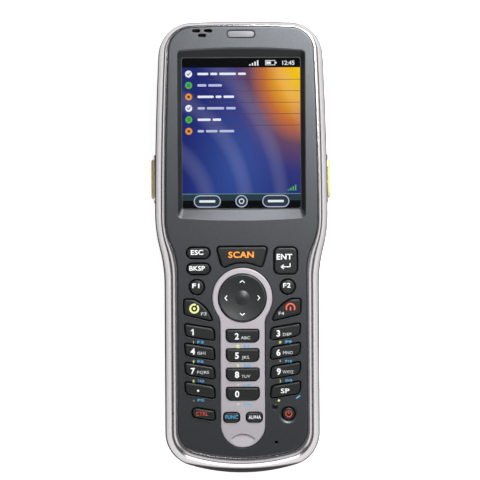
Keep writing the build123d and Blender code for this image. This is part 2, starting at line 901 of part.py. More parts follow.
def skin_strip(side, start, end, depth):
    """Flat strip of the body's outer skin between two stations on one side."""
    middle, length = span(start, end)
    with BuildSketch() as strip:
        add(body_outline)
        offset(amount=-depth, mode=Mode.SUBTRACT)
        with Locations((side * body_form["half_wide"], middle)):
            Rectangle(body_form["half_wide"], length, mode=Mode.INTERSECT)
    return strip.sketch


def cover_pivot(side, start):
    """Centre of a side cover's hinge, at the cover's lower end."""
    y = start + cover_thickness / 2
    return side * (body_half_width(y) - cover_thickness / 2), y


jack_pivot = cover_pivot(-1, jack_cover_start)
card_pivot = cover_pivot(1, card_door_start)
side_covers = (
    (-1, jack_cover_start, jack_cover_end, jack_cover_bottom, jack_cover_top, jack_pivot),
    (1, card_door_start, card_door_end, card_door_bottom, card_door_top, card_pivot),
)
jack_y = (jack_cover_start + jack_cover_end) / 2 + cover_thickness / 4
card_y = (card_door_start + card_door_end) / 2 + cover_thickness / 4
jack_mouth_x = body_half_width(jack_cover_end) - wall - cover_gap

with BuildPart() as rear_housing:
    with BuildSketch():
        add(body_outline)
    extrude(amount=part_line)
    fillet(rear_housing.edges().group_by(Axis.Z)[0], rear_round)

    # flat-ended dock bay at the bottom, with a rounded ear on each side
    with BuildSketch(Plane.XY.offset(dock_bottom)):
        add(dock_ledge())
        with Locations((0, dock_face + dock_depth / 2)):
            Rectangle(2 * dock_half, dock_depth)
    extrude(amount=dock_top - dock_bottom)
    with Locations((0, dock_face, 0)):
        Box(
            4 * dock_half,
            4 * wall,
            dock_top,
            align=(Align.CENTER, Align.MAX, Align.MIN),
            mode=Mode.SUBTRACT,
        )

    # hollow inside
    cavity_middle, cavity_length = span(dock_face + dock_wall, body_form["top"])
    with BuildSketch(Plane.XY.offset(rear_wall)):
        add(grown(body_outline, -wall))
        with Locations((0, cavity_middle)):
            Rectangle(4 * dock_half, cavity_length, mode=Mode.INTERSECT)
    extrude(amount=part_line - rear_wall, mode=Mode.SUBTRACT)

    # battery bay walls and the frame that the battery door seats in
    frame_middle, frame_length = span(recess_start - door_frame, recess_end + door_frame)
    with Locations((0, frame_middle, door_skin_z)):
        Box(
            2 * (recess_half + door_frame),
            frame_length,
            door_frame_top - door_skin_z,
            align=(Align.CENTER, Align.CENTER, Align.MIN),
        )
    bay_middle, bay_length = span(bay_start, bay_end)
    with Locations((0, bay_middle, door_skin_z)):
        Box(
            2 * (bay_half + bay_wall),
            bay_length + 2 * bay_wall,
            bay_roof + bay_wall - door_skin_z,
            align=(Align.CENTER, Align.CENTER, Align.MIN),
        )
    with Locations(*[(x, y, bay_roof) for x, y in board_post_places]):
        Cylinder(board_post_radius, main_board_z - bay_roof, align=(Align.CENTER, Align.CENTER, Align.MIN))

    # screw bosses, scan engine rails and strap pocket blocks
    with BuildSketch(Plane.XY.offset(boss_start)):
        with Locations(*screw_places):
            Circle(boss_radius)
    extrude(amount=part_line - boss_start)
    rail_x = engine_half - engine_rail_inset
    with Locations((-rail_x, engine_start, rear_wall), (rail_x, engine_start, rear_wall)):
        Box(
            engine_rail_width,
            engine_length,
            engine_bottom - rear_wall,
            align=(Align.CENTER, Align.MIN, Align.MIN),
        )
    with Locations(*[(0, y, rear_wall / 2) for y in strap_places]):
        Box(
            2 * (strap_pocket_half + strap_block_wall),
            strap_pocket_width + 2 * strap_block_wall,
            strap_pocket_depth + strap_block_wall - rear_wall / 2,
            align=(Align.CENTER, Align.CENTER, Align.MIN),
        )

    # stylus silo along the right side, open at the scan end
    silo_middle, silo_length = span(stylus_tip_y - silo_gap - silo_wall, body_form["top"] - silo_setback)
    with Locations(Location((stylus_x, silo_middle, stylus_z), (90, 0, 0))):
        Cylinder(silo_radius + silo_wall, silo_length)
    silo_middle, silo_length = span(stylus_tip_y - silo_gap, body_form["top"] + past)
    with Locations(Location((stylus_x, silo_middle, stylus_z), (90, 0, 0))):
        Cylinder(silo_radius, silo_length, mode=Mode.SUBTRACT)

    # battery bay, door recess, hinge holes and latch slot
    with Locations((0, bay_middle, 0)):
        Box(
            2 * bay_half,
            bay_length,
            bay_roof,
            align=(Align.CENTER, Align.CENTER, Align.MIN),
            mode=Mode.SUBTRACT,
        )
    recess_middle, recess_length = span(recess_start, recess_end)
    with Locations((0, recess_middle, 0)):
        Box(
            2 * recess_half,
            recess_length,
            door_seat,
            align=(Align.CENTER, Align.CENTER, Align.MIN),
            mode=Mode.SUBTRACT,
        )
    with Locations(Location((0, door_hinge_y, door_hinge_z), (0, 90, 0))):
        Cylinder(
            door_pin_radius + door_pin_gap,
            2 * (door_half + door_pin_length + door_gap),
            mode=Mode.SUBTRACT,
        )
    latch_z = door_inner_z - latch_gap - latch_thickness / 2
    with Locations((0, recess_end, latch_z)):
        Box(
            2 * (latch_half + latch_gap),
            2 * latch_travel,
            latch_thickness + 2 * latch_gap,
            mode=Mode.SUBTRACT,
        )
    with Locations((0, contact_y, bay_roof)):
        Box(
            contact_places[-1] - contact_places[0] + contact_size + 2 * contact_slot_gap,
            contact_size + 2 * contact_slot_gap,
            4 * bay_wall,
            mode=Mode.SUBTRACT,
        )

    # screw holes from the rear
    with Locations(*screw_places):
        Cylinder(
            screw_head_radius + screw_gap,
            screw_seat,
            align=(Align.CENTER, Align.CENTER, Align.MIN),
            mode=Mode.SUBTRACT,
        )
        Cylinder(
            screw_shank_radius + screw_gap,
            part_line,
            align=(Align.CENTER, Align.CENTER, Align.MIN),
            mode=Mode.SUBTRACT,
        )

    # strap pockets and the holes for their bars
    with Locations(*[(0, y, 0) for y in strap_places]):
        Box(
            2 * strap_pocket_half,
            strap_pocket_width,
            strap_pocket_depth,
            align=(Align.CENTER, Align.CENTER, Align.MIN),
            mode=Mode.SUBTRACT,
        )
    with Locations(*[Location((0, y, strap_bar_z), (0, 90, 0)) for y in strap_places]):
        Cylinder(
            strap_bar_radius + strap_bar_gap,
            2 * (strap_pocket_half + strap_block_wall),
            mode=Mode.SUBTRACT,
        )

    # scan window in the top end: an outer seat and a smaller way through
    sill_middle, sill_height = span(window_end_bottom - window_end_gap, window_end_top + window_end_gap)
    with Locations((0, body_form["top"] - window_end_sill - window_end_thickness, sill_middle)):
        Box(
            2 * (window_end_half + window_end_gap),
            window_end_thickness + wall,
            sill_height,
            align=(Align.CENTER, Align.MIN, Align.CENTER),
            mode=Mode.SUBTRACT,
        )
    with Locations((0, body_form["top"], sill_middle)):
        Box(
            2 * (window_end_half - window_end_ledge),
            4 * wall,
            sill_height - 2 * window_end_ledge,
            mode=Mode.SUBTRACT,
        )

    # trigger openings, each in a raised collar
    for side in (-1, 1):
        collar_x = body_half_width(trigger_y) + collar_proud
        with BuildSketch(side_plane(side, trigger_inner_x + past, trigger_y, trigger_z)):
            RectangleRounded(
                trigger_length + 2 * (trigger_gap + collar_width),
                trigger_height + 2 * (trigger_gap + collar_width),
                trigger_height / 2 + collar_width,
            )
        extrude(amount=collar_x - trigger_inner_x - past)
        fillet(rear_housing.edges().group_by(Axis.X)[-1 if side > 0 else 0], collar_round)
        with BuildSketch(side_plane(side, trigger_inner_x - past, trigger_y, trigger_z)):
            RectangleRounded(
                trigger_length + 2 * trigger_gap,
                trigger_height + 2 * trigger_gap,
                trigger_height / 2,
            )
        extrude(amount=wall + collar_proud + 2 * past, mode=Mode.SUBTRACT)

    # seats, hinge holes and passages behind the two side covers
    for side, start, end, bottom, top, pivot in side_covers:
        with BuildSketch(Plane.XY.offset(bottom - cover_gap)):
            add(skin_strip(side, start - cover_gap, end + cover_gap, cover_thickness + cover_gap / 2))
        extrude(amount=top - bottom + 2 * cover_gap, mode=Mode.SUBTRACT)
        pin_middle, pin_span = span(bottom - cover_pin_length, top + cover_pin_length)
        with Locations((*pivot, pin_middle)):
            Cylinder(
                cover_pin_radius + cover_pin_gap,
                pin_span + 2 * cover_pin_gap,
                mode=Mode.SUBTRACT,
            )
    with BuildSketch(side_plane(-1, jack_mouth_x - past, jack_y, jack_z)):
        Circle(jack_hole_radius)
    extrude(amount=wall + past, mode=Mode.SUBTRACT)
    card_slot_z = main_board_z - card_socket_height / 2
    with Locations((body_half_width(card_y), card_y, card_slot_z)):
        Box(4 * wall, card_socket_length, card_socket_height - card_slot_margin, mode=Mode.SUBTRACT)

    # dock connector opening
    connector_middle, connector_height = span(connector_bottom, connector_top)
    with Locations((0, dock_face, connector_middle)):
        Box(
            2 * (connector_half + connector_gap),
            4 * dock_wall,
            connector_height + 2 * connector_gap,
            mode=Mode.SUBTRACT,
        )

    # groove for the gasket in the parting face
    with BuildSketch(Plane.XY.offset(part_line)):
        add(grown(body_outline, -(wall - gasket_width) / 2))
        add(grown(body_outline, -(wall + gasket_width) / 2), mode=Mode.SUBTRACT)
    extrude(amount=-gasket_depth, mode=Mode.SUBTRACT)
keep(rear_housing, "rear_housing")

with BuildPart() as strap_bars:
    with Locations(*[Location((0, y, strap_bar_z), (0, 90, 0)) for y in strap_places]):
        Cylinder(strap_bar_radius, 2 * (strap_pocket_half + strap_block_wall - strap_bar_gap))
keep(strap_bars, "strap_bars")

# ---------------------------------------------------------------- gasket between the shells
with BuildPart() as housing_gasket:
    with BuildSketch(Plane.XY.offset(part_line)):
        add(grown(body_outline, -(wall - gasket_width) / 2 - gasket_gap))
        add(grown(body_outline, gasket_gap - (wall + gasket_width) / 2), mode=Mode.SUBTRACT)
    extrude(amount=-gasket_depth)
keep(housing_gasket, "housing_gasket")

# ---------------------------------------------------------------- screws
with BuildPart() as housing_screws:
    with Locations(*[(x, y, screw_seat - screw_head_height) for x, y in screw_places]):
        Cylinder(screw_head_radius, screw_head_height, align=(Align.CENTER, Align.CENTER, Align.MIN))
        Cylinder(
            screw_shank_radius,
            screw_tip - screw_seat + screw_head_height,
            align=(Align.CENTER, Align.CENTER, Align.MIN),
        )
        Cylinder(
            screw_drive_width / 2,
            screw_drive_depth,
            align=(Align.CENTER, Align.CENTER, Align.MIN),
            mode=Mode.SUBTRACT,
        )
keep(housing_screws, "housing_screws")

# ---------------------------------------------------------------- battery
with BuildPart() as battery_pack:
    battery_middle, battery_length = span(battery_start, battery_end)
    with Locations((0, battery_middle, battery_back)):
        Box(
            2 * battery_half,
            battery_length,
            battery_thickness,
            align=(Align.CENTER, Align.CENTER, Align.MIN),
        )
    fillet(battery_pack.edges().filter_by(Axis.Y), battery_round)
keep(battery_pack, "battery_pack")

contact_bottom = battery_top + door_seat_gap
with BuildPart() as battery_contacts:
    with Locations(*[(x, contact_y, contact_bottom) for x in contact_places]):
        Box(
            contact_size,
            contact_size,
            main_board_z - contact_bottom,
            align=(Align.CENTER, Align.CENTER, Align.MIN),
        )
keep(battery_contacts, "battery_contacts")

latch_end = door_end - latch_gap
latch_start = latch_end - latch_length
thumb_start = latch_start + latch_gap + past
with BuildPart() as battery_door:
    plate_middle, plate_length = span(door_hinge_y, door_end)
    with Locations((0, plate_middle, door_skin_z)):
        Box(2 * door_half, plate_length, door_thickness, align=(Align.CENTER, Align.CENTER, Align.MIN))
    with Locations(Location((0, door_hinge_y, door_hinge_z), (0, 90, 0))):
        Cylinder(door_round, 2 * door_half)
        Cylinder(door_pin_radius, 2 * (door_half + door_pin_length))
    with Locations((0, latch_start - latch_gap, door_inner_z)):
        Box(
            2 * (latch_half + latch_gap),
            latch_length + 2 * latch_gap + past,
            latch_thickness + 2 * latch_gap,
            align=(Align.CENTER, Align.MIN, Align.MAX),
            mode=Mode.SUBTRACT,
        )
    with Locations((0, thumb_start - latch_gap, 0)):
        Box(
            2 * (thumb_half + latch_gap),
            thumb_length + latch_travel + 2 * latch_gap,
            door_inner_z,
            align=(Align.CENTER, Align.MIN, Align.MIN),
            mode=Mode.SUBTRACT,
        )
keep(battery_door, "battery_door")

with BuildPart() as battery_latch:
    with Locations((0, latch_start, door_inner_z - latch_gap)):
        Box(
            2 * latch_half,
            latch_length,
            latch_thickness,
            align=(Align.CENTER, Align.MIN, Align.MAX),
        )
    with Locations((0, thumb_start, door_skin_z + latch_gap / 2)):
        Box(
            2 * thumb_half,
            thumb_length,
            door_thickness / 2,
            align=(Align.CENTER, Align.MIN, Align.MIN),
        )
keep(battery_latch, "battery_latch")

# ---------------------------------------------------------------- main board and what it carries
switch_face = trigger_inner_x - trigger_flange_thickness - trigger_travel - switch_clearance
switch_x = switch_face - switch_width / 2
with BuildPart() as main_board:
    board_middle, board_length = span(main_board_start, main_board_end)
    with BuildSketch(Plane.XY.offset(main_board_z)):
        with Locations((0, board_middle)):
            RectangleRounded(2 * main_board_half, board_length, main_board_corner)
        with Locations((0, trigger_y)):
            Rectangle(2 * (switch_x + switch_width / 2), 2 * switch_length)
    extrude(amount=board_thickness)
    for x, y, length, width in chip_places:
        with Locations((x, y, main_board_z + board_thickness)):
            Box(length, width, chip_height, align=(Align.CENTER, Align.CENTER, Align.MIN))
keep(main_board, "main_board")

with BuildPart() as trigger_switches:
    with Locations((-switch_x, trigger_y, main_board_z), (switch_x, trigger_y, main_board_z)):
        Box(
            switch_width,
            switch_length,
            switch_height,
            align=(Align.CENTER, Align.CENTER, Align.MAX),
        )
keep(trigger_switches, "trigger_switches")

with BuildPart() as audio_jack:
    with Locations((-jack_mouth_x, jack_y, jack_z)):
        Box(
            jack_length,
            jack_body,
            2 * (main_board_z - jack_z),
            align=(Align.MIN, Align.CENTER, Align.CENTER),
        )
        Cylinder(
            jack_radius,
            2 * (jack_length - wall / 2),
            rotation=(0, 90, 0),
            mode=Mode.SUBTRACT,
        )
keep(audio_jack, "audio_jack")

with BuildPart() as card_socket:
    with Locations((body_half_width(card_door_end) - wall - cover_gap, card_y, main_board_z)):
        Box(
            card_socket_depth,
            card_socket_length,
            card_socket_height,
            align=(Align.MAX, Align.CENTER, Align.MAX),
        )
    with Locations((body_half_width(card_y) - wall, card_y, main_board_z - card_socket_height / 2)):
        Box(
            2 * (card_socket_depth - past),
            card_socket_length - 2 * card_slot_margin,
            card_slot_height,
            mode=Mode.SUBTRACT,
        )
keep(card_socket, "card_socket")

# ---------------------------------------------------------------- scan engine and its window
with BuildPart() as scan_engine:
    engine_axis_z = (engine_bottom + engine_top) / 2
    with Locations((0, engine_start, engine_bottom)):
        Box(
            2 * engine_half,
            engine_length,
            engine_top - engine_bottom,
            align=(Align.CENTER, Align.MIN, Align.MIN),
        )
    for x in (-engine_half / 2, engine_half / 2):
        with BuildSketch(Plane(origin=(x, engine_front, engine_axis_z), x_dir=(1, 0, 0), z_dir=(0, 1, 0))):
            Circle(engine_lens_radius)
        extrude(amount=-engine_lens_depth, mode=Mode.SUBTRACT)
keep(scan_engine, "scan_engine")

with BuildPart() as scan_window:
    pane_y = body_form["top"] - window_end_sill - window_end_thickness + window_end_gap
    with Locations((0, pane_y, window_end_bottom)):
        Box(
            2 * window_end_half,
            window_end_thickness - 2 * window_end_gap,
            window_end_top - window_end_bottom,
            align=(Align.CENTER, Align.MIN, Align.MIN),
        )
keep(scan_window, "scan_window")

# ---------------------------------------------------------------- triggers
for side, name in ((-1, "left_trigger"), (1, "right_trigger")):
    flange_x = trigger_inner_x - key_flange_gap - trigger_flange_thickness
    face_x = body_half_width(trigger_y) + trigger_proud
    with BuildPart() as trigger:
        with BuildSketch(side_plane(side, flange_x, trigger_y, trigger_z)):
            RectangleRounded(trigger_length, trigger_height, trigger_height / 2 - trigger_gap)
        extrude(amount=face_x - flange_x)
        outer_edges = trigger.edges().group_by(Axis.X)[-1 if side > 0 else 0]
        fillet(outer_edges, trigger_round)
        with BuildSketch(side_plane(side, flange_x, trigger_y, trigger_z)):
            RectangleRounded(
                trigger_length + 2 * trigger_flange,
                trigger_height + 2 * trigger_flange,
                trigger_height / 2,
            )
        extrude(amount=trigger_flange_thickness)
    keep(trigger, name)

# ---------------------------------------------------------------- side covers
for (side, start, end, bottom, top, pivot), name in zip(side_covers, ("jack_cover", "card_door")):
    with BuildPart() as cover:
        with BuildSketch(Plane.XY.offset(bottom)):
            add(skin_strip(side, pivot[1], end, cover_thickness))
            with Locations(pivot):
                Circle(cover_thickness / 2)
        extrude(amount=top - bottom)
        with BuildSketch(Plane.XY.offset(bottom - cover_pin_length)):
            with Locations(pivot):
                Circle(cover_pin_radius)
        extrude(amount=top - bottom + 2 * cover_pin_length)
    keep(cover, name)

# ---------------------------------------------------------------- dock connector
with BuildPart() as dock_connector:
    connector_middle, connector_height = span(connector_bottom, connector_top)
    with Locations((0, dock_face + connector_recess, connector_middle)):
        Box(
            2 * connector_half,
            connector_depth,
            connector_height,
            align=(Align.CENTER, Align.MIN, Align.CENTER),
        )
    riser_y = dock_face + connector_recess + connector_depth - wall
    with Locations((0, riser_y, connector_middle)):
        Box(
            connector_half,
            wall,
            main_board_z + board_thickness - connector_middle,
            align=(Align.CENTER, Align.MIN, Align.MIN),
        )
    with Locations((0, dock_face + connector_recess, connector_middle)):
        with GridLocations(contact_pad_pitch, 0, contact_pad_count, 1):
            Box(
                contact_pad_width,
                2 * contact_pad_depth,
                connector_height - 2 * contact_pad_width,
                mode=Mode.SUBTRACT,
            )
keep(dock_connector, "dock_connector")

# ---------------------------------------------------------------- stylus
with BuildPart() as stylus_rod:
    barrel_start = stylus_tip_y + stylus_tip_length
    with BuildSketch(Plane(origin=(stylus_x, barrel_start, stylus_z), x_dir=(1, 0, 0), z_dir=(0, 1, 0))):
        Circle(stylus_radius)
    extrude(amount=body_form["top"] - barrel_start)
    with BuildSketch(Plane(origin=(stylus_x, barrel_start, stylus_z), x_dir=(1, 0, 0), z_dir=(0, 1, 0))):
        Circle(stylus_radius)
    with BuildSketch(Plane(origin=(stylus_x, stylus_tip_y, stylus_z), x_dir=(1, 0, 0), z_dir=(0, 1, 0))):
        Circle(stylus_tip_radius)
    loft()
    with BuildSketch():
        add(body_outline)
    extrude(amount=part_line, mode=Mode.INTERSECT)
keep(stylus_rod, "stylus")
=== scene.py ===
"""Looks of a portable data terminal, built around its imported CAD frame.

Metres, in the frame of the CAD: the terminal lies on its back, +Z comes out of the display,
+Y points to the scan end. Each sub-assembly is a class that dresses the CAD nodes it owns
and adds the pieces that are too fine for the CAD: prints, the lit picture, screws with
their sockets and threads, lenses, seals, dock contacts and thumb ridges.
"""

import json
import logging
import math
from dataclasses import dataclass
from enum import Enum

import bmesh
import bpy
from mathutils import Matrix, Vector
from mathutils.bvhtree import BVHTree

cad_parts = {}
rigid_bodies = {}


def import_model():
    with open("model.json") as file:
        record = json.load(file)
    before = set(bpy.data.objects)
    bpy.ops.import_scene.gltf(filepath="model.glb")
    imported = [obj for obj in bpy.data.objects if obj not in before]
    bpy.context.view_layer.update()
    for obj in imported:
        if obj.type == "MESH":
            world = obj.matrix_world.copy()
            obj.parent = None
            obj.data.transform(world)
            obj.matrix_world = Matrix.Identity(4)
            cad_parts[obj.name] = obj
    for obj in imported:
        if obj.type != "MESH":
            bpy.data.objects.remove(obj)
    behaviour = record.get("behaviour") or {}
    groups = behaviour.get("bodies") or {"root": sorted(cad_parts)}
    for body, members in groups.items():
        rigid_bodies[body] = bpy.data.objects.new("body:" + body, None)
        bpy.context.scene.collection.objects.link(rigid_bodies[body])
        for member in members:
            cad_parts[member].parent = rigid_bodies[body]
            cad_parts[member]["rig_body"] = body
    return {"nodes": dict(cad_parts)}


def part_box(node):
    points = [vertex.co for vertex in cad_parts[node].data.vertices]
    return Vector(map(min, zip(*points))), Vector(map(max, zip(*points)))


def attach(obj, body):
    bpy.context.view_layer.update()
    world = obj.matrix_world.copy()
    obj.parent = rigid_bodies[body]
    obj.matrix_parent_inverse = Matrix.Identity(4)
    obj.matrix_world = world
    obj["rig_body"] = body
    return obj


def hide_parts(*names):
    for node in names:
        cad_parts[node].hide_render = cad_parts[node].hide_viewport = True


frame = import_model()
log = logging.getLogger("terminal")

MM = 0.001
DRIFT_SIZE = 14 * MM  # size of the clouds in which a colour wanders
SMEAR_SIZE = 6 * MM  # size of the clouds in which a gloss wanders
EDGE_LIKENESS = (0.75, 0.995)  # likeness of bent and flat normal, from a sharp edge to a flat face
ARC_STEPS = 40
CAP_HEIGHT = 0.729  # of the type, as a share of its size
TYPE_THICKNESS = 0.02  # before the strokes are thickened
SMOOTH_ANGLE = math.radians(35)
WELD = 0.0005 * MM  # nearer points of a finished piece become one
CLOSE = 0.001 * MM  # nearer heights or points of a shape count as the same

Colour = tuple[float, float, float]
Point = tuple[float, float]
Box = tuple[float, float, float, float]  # lowest X, lowest Y, highest X and highest Y
Level = tuple[float, float]  # Z of the underside and of the face of something flat
Socket = bpy.types.NodeSocket
Feeds = dict[int | str, object]  # inputs of a node, each with the output or value that feeds it


def tint(red: int, green: int, blue: int) -> Colour:
    """Linear colour of a shade given in display values from 0 to 255."""
    shares = (red / 255, green / 255, blue / 255)
    return tuple(s / 12.92 if s <= 0.04045 else ((s + 0.055) / 1.055) ** 2.4 for s in shares)


def shaded(colour: Colour, factor: float) -> Colour:
    """The colour made lighter or darker by a factor, kept within 0 to 1."""
    return tuple(min(1.0, channel * factor) for channel in colour)


class Slot(Enum):
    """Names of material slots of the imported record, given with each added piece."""

    SILVER_PAINT = "silver_paint"
    BEZEL_PAINT = "bezel_paint"
    INLAY_PAINT = "inlay_paint"
    LIT_SCREEN = "lit_screen"
    LIGHT_PIPE = "light_pipe"
    DARK_LENS = "dark_lens"
    BLACK_PLASTIC = "black_plastic"
    STEEL = "steel"
    GOLD = "gold"
    KEY_PLASTIC = "key_plastic"


# ------------------------------------------------------------------ finishes
class Graph:
    """Node tree of one material or of the world, with the few steps that they share."""

    def __init__(self, holder: bpy.types.Material | bpy.types.World) -> None:
        """Starts an empty tree.

        Args:
            holder: The new material or world.
        """
        self.holder = holder
        holder.use_nodes = True
        self.tree = holder.node_tree
        self.tree.nodes.clear()
        kind = "World" if isinstance(holder, bpy.types.World) else "Material"
        self.surface = self.node(f"Output{kind}").inputs["Surface"]
        self.coordinates = self.node("TexCoord")
        self.place = self.coordinates.outputs["Object"]

    def node(self, kind: str, feeds: Feeds | None = None, **settings: object) -> bpy.types.Node:
        """Adds a node, sets its own properties and feeds its inputs.

        Args:
            kind: Blender's name of the node type, after "ShaderNode".
            feeds: Its inputs and what feeds them.
            settings: Its properties and their values.

        Returns:
            The new node.
        """
        node = self.tree.nodes.new(f"ShaderNode{kind}")
        for name, value in settings.items():
            setattr(node, name, value)
        for name, value in (feeds or {}).items():
            self.feed(node.inputs[name], value)
        return node

    def feed(self, socket: Socket, value: object) -> None:
        """Links a socket to an output, or sets its own value.

        Args:
            socket: Input that takes the value.
            value: An output, a number, a colour or a vector.
        """
        if isinstance(value, Socket):
            self.tree.links.new(value, socket)
        elif isinstance(value, tuple) and len(value) < len(socket.default_value):
            socket.default_value = (*value, 1.0)
        else:
            socket.default_value = value

    def mapped(self, location: Colour = (0.0, 0.0, 0.0), scale: Colour = (1.0, 1.0, 1.0)) -> Socket:
        """Object coordinates, scaled by axis and then moved."""
        feeds = {"Vector": self.place, "Location": location, "Scale": scale}
        return self.node("Mapping", feeds).outputs["Vector"]

    def noise(self, size: float, detail: float = 2.0, place: Socket | None = None) -> Socket:
        """Cloudy pattern from 0 to 1, with clouds of one size and a number of finer layers."""
        feeds = {"Vector": place or self.place, "Scale": 1.0 / size, "Detail": detail}
        return self.node("TexNoise", feeds).outputs["Fac"]

    def cells(self, size: float) -> Socket:
        """Random value for each small cell, for metal flakes in a lacquer."""
        cells = self.node("TexVoronoi", {"Vector": self.place, "Scale": 1.0 / size})
        return self.node("SeparateColor", {0: cells.outputs["Color"]}).outputs[0]

    def span(
        self, source: Socket, to_low: float, to_high: float,
        from_low: float = 0.0, from_high: float = 1.0,
    ) -> Socket:
        """Moves a value from one range to another, and clamps it to the new one."""
        ends = {"From Min": from_low, "From Max": from_high, "To Min": to_low, "To Max": to_high}
        return self.node("MapRange", {"Value": source, **ends}).outputs["Result"]

    def past(self, source: Socket, edge: float, soft: float) -> Socket:
        """Mask that turns from 0 to 1 over a soft edge."""
        return self.span(source, 0.0, 1.0, edge - soft, edge + soft)

    def before(self, source: Socket, edge: float, soft: float) -> Socket:
        """Mask that turns from 1 to 0 over a soft edge."""
        return self.span(source, 1.0, 0.0, edge - soft, edge + soft)

    def mix(self, share: object, first: object, second: object) -> Socket:
        """Colour mixed from two, by the share of the second."""
        return self.node("Mix", {0: share, 6: first, 7: second}, data_type="RGBA").outputs[2]

    def ramp(self, source: Socket, *stops: tuple[float, Colour]) -> Socket:
        """Turns a value into a colour.

        Args:
            source: The value.
            stops: Places from 0 to 1, each with its colour.

        Returns:
            The colour.
        """
        ramp = self.node("ValToRGB", {0: source})
        band = ramp.color_ramp
        while len(band.elements) < len(stops):
            band.elements.new(0.5)
        for element, (place, colour) in zip(band.elements, stops):
            element.position = place
            element.color = (*colour, 1.0)
        return ramp.outputs[0]

    def away_from(self, centre: Point, stretch: Point = (1.0, 1.0)) -> Socket:
        """Distance from a place on the front, in metres, stretched by axis.

        Args:
            centre: X and Y of the place.
            stretch: Factors for X and Y.

        Returns:
            The distance.
        """
        x, y = (-place * factor for place, factor in zip(centre, stretch))
        place = self.mapped((x, y, 0.0), (*stretch, 0.0))
        return self.node("VectorMath", {0: place}, operation="LENGTH").outputs["Value"]

    def along(self, axis: str, source: Socket | None = None) -> Socket:
        """One axis of the object's coordinates, or of another place or direction."""
        return self.node("SeparateXYZ", {0: source or self.place}).outputs[axis]

    def aside(self) -> Socket:
        """Distance from the plane X = 0."""
        return self.sum_up("ABSOLUTE", self.along("X"))

    def sum_up(self, operation: str, first: object, second: object = 0.0) -> Socket:
        """Works out one value from two, by Blender's name of the operation."""
        return self.node("Math", {0: first, 1: second}, operation=operation).outputs[0]

    def rounded(self, radius: float) -> Socket:
        """Normal that runs softly over edges, as a moulded edge does."""
        return self.node("Bevel", {"Radius": radius}, samples=6).outputs["Normal"]

    def edges(self, radius: float) -> Socket:
        """Mask that is 1 along edges, where a finish rubs off first and where a painted highlight
        lies.

        Args:
            radius: Reach of the mask from the edge.

        Returns:
            The mask from 0 to 1.
        """
        normals = {0: self.rounded(radius), 1: self.node("NewGeometry").outputs["Normal"]}
        likeness = self.node("VectorMath", normals, operation="DOT_PRODUCT").outputs["Value"]
        return self.span(likeness, 1.0, 0.0, *EDGE_LIKENESS)

    def relief(self, height: Socket, depth: float, normal: Socket | None = None) -> Socket:
        """Normal of a fine relief from a pattern, on top of another normal if there is one."""
        ground = {} if normal is None else {"Normal": normal}
        return self.node("Bump", {"Height": height, "Distance": depth, **ground}).outputs["Normal"]

    def blend(self, share: Socket, first: bpy.types.Node, second: bpy.types.Node) -> bpy.types.Node:
        """Shader mixed from two, by the share of the second."""
        return self.node("MixShader", {0: share, 1: first.outputs[0], 2: second.outputs[0]})

    def end_with(self, shader: bpy.types.Node) -> None:
        """Feeds the tree's surface from a shader."""
        self.feed(self.surface, shader.outputs[0])


@dataclass(frozen=True)
class Finish:
    """A moulded, lacquered or rubber surface with grain, drift of colour and paler edges, partly
    wear and partly painted highlight.
    """

    name: str
    colour: Colour
    roughness: float
    metallic: float = 0.0
    specular: float = 0.5
    drift: float = 0.08  # share by which the colour wanders over the piece
    flake: float = 0.0  # share by which single grains differ in brightness
    grain: Point = (0.28, 0.006)  # size and depth of the grain, in millimetres
    wear_and_highlight: float = 0.15  # how much paler the edges are, as wear and as a painted highlight
    edge: float = 0.12  # radius of the edges, in millimetres
    coat: float = 0.0
    coat_roughness: float = 0.12
    # painted glow of a surface that gives no light of its own
    painted_glow: float = 0.0

    def material(self) -> bpy.types.Material:
        """The finish as a material, built once."""
        return bpy.data.materials.get(self.name) or self.build()

    def build(self) -> bpy.types.Material:
        """Builds the material around the surface shader.

        Returns:
            The new material.
        """
        graph = Graph(bpy.data.materials.new(self.name))
        graph.end_with(graph.node("BsdfPrincipled", self.inputs(graph)))
        return graph.holder

    def inputs(self, graph: Graph) -> Feeds:
        """Inputs of the surface shader.

        Args:
            graph: Node tree that takes the nodes.

        Returns:
            The inputs and what feeds them.
        """
        dull, bright = min(1.0, self.roughness * 1.12), self.roughness * 0.88
        return {
            "Base Color": self.tone(graph),
            "Roughness": graph.span(graph.noise(SMEAR_SIZE, 5.0), bright, dull),
            "Metallic": self.metallic,
            "Specular IOR Level": self.specular,
            "Coat Weight": self.coat,
            "Coat Roughness": self.coat_roughness,
            "Emission Color": self.colour,
            "Emission Strength": self.painted_glow,
            "Normal": self.texture(graph),
        }

    def wander(self, graph: Graph, share: Socket) -> Socket:
        """Colour that goes from its darkest to its lightest with a pattern."""
        darkest, lightest = (shaded(self.colour, 1 + drift) for drift in (-self.drift, self.drift))
        return graph.mix(share, darkest, lightest)

    def tone(self, graph: Graph) -> Socket:
        """Colour with its drift, its grain and its paler edges, which are partly wear and partly
        painted highlight.

        Args:
            graph: Node tree that takes the nodes.

        Returns:
            The colour.
        """
        colour = self.wander(graph, graph.noise(DRIFT_SIZE, 4.0))
        if self.flake:
            sparkle = graph.span(graph.cells(self.grain[0] * MM), 0.0, 1.0, 0.35, 1.0)
            colour = graph.mix(sparkle, colour, shaded(self.colour, 1 + self.flake))
        # Edges go paler: partly wear, partly a painted highlight.
        paler = graph.span(graph.edges(self.edge * MM), 0.0, self.wear_and_highlight)
        return graph.mix(paler, colour, shaded(self.colour, 3.0))

    def texture(self, graph: Graph) -> Socket:
        """Normal of the grain, over softened edges."""
        size, depth = self.grain
        return graph.relief(graph.noise(size * MM, 3.0), depth * MM, graph.rounded(self.edge * MM))


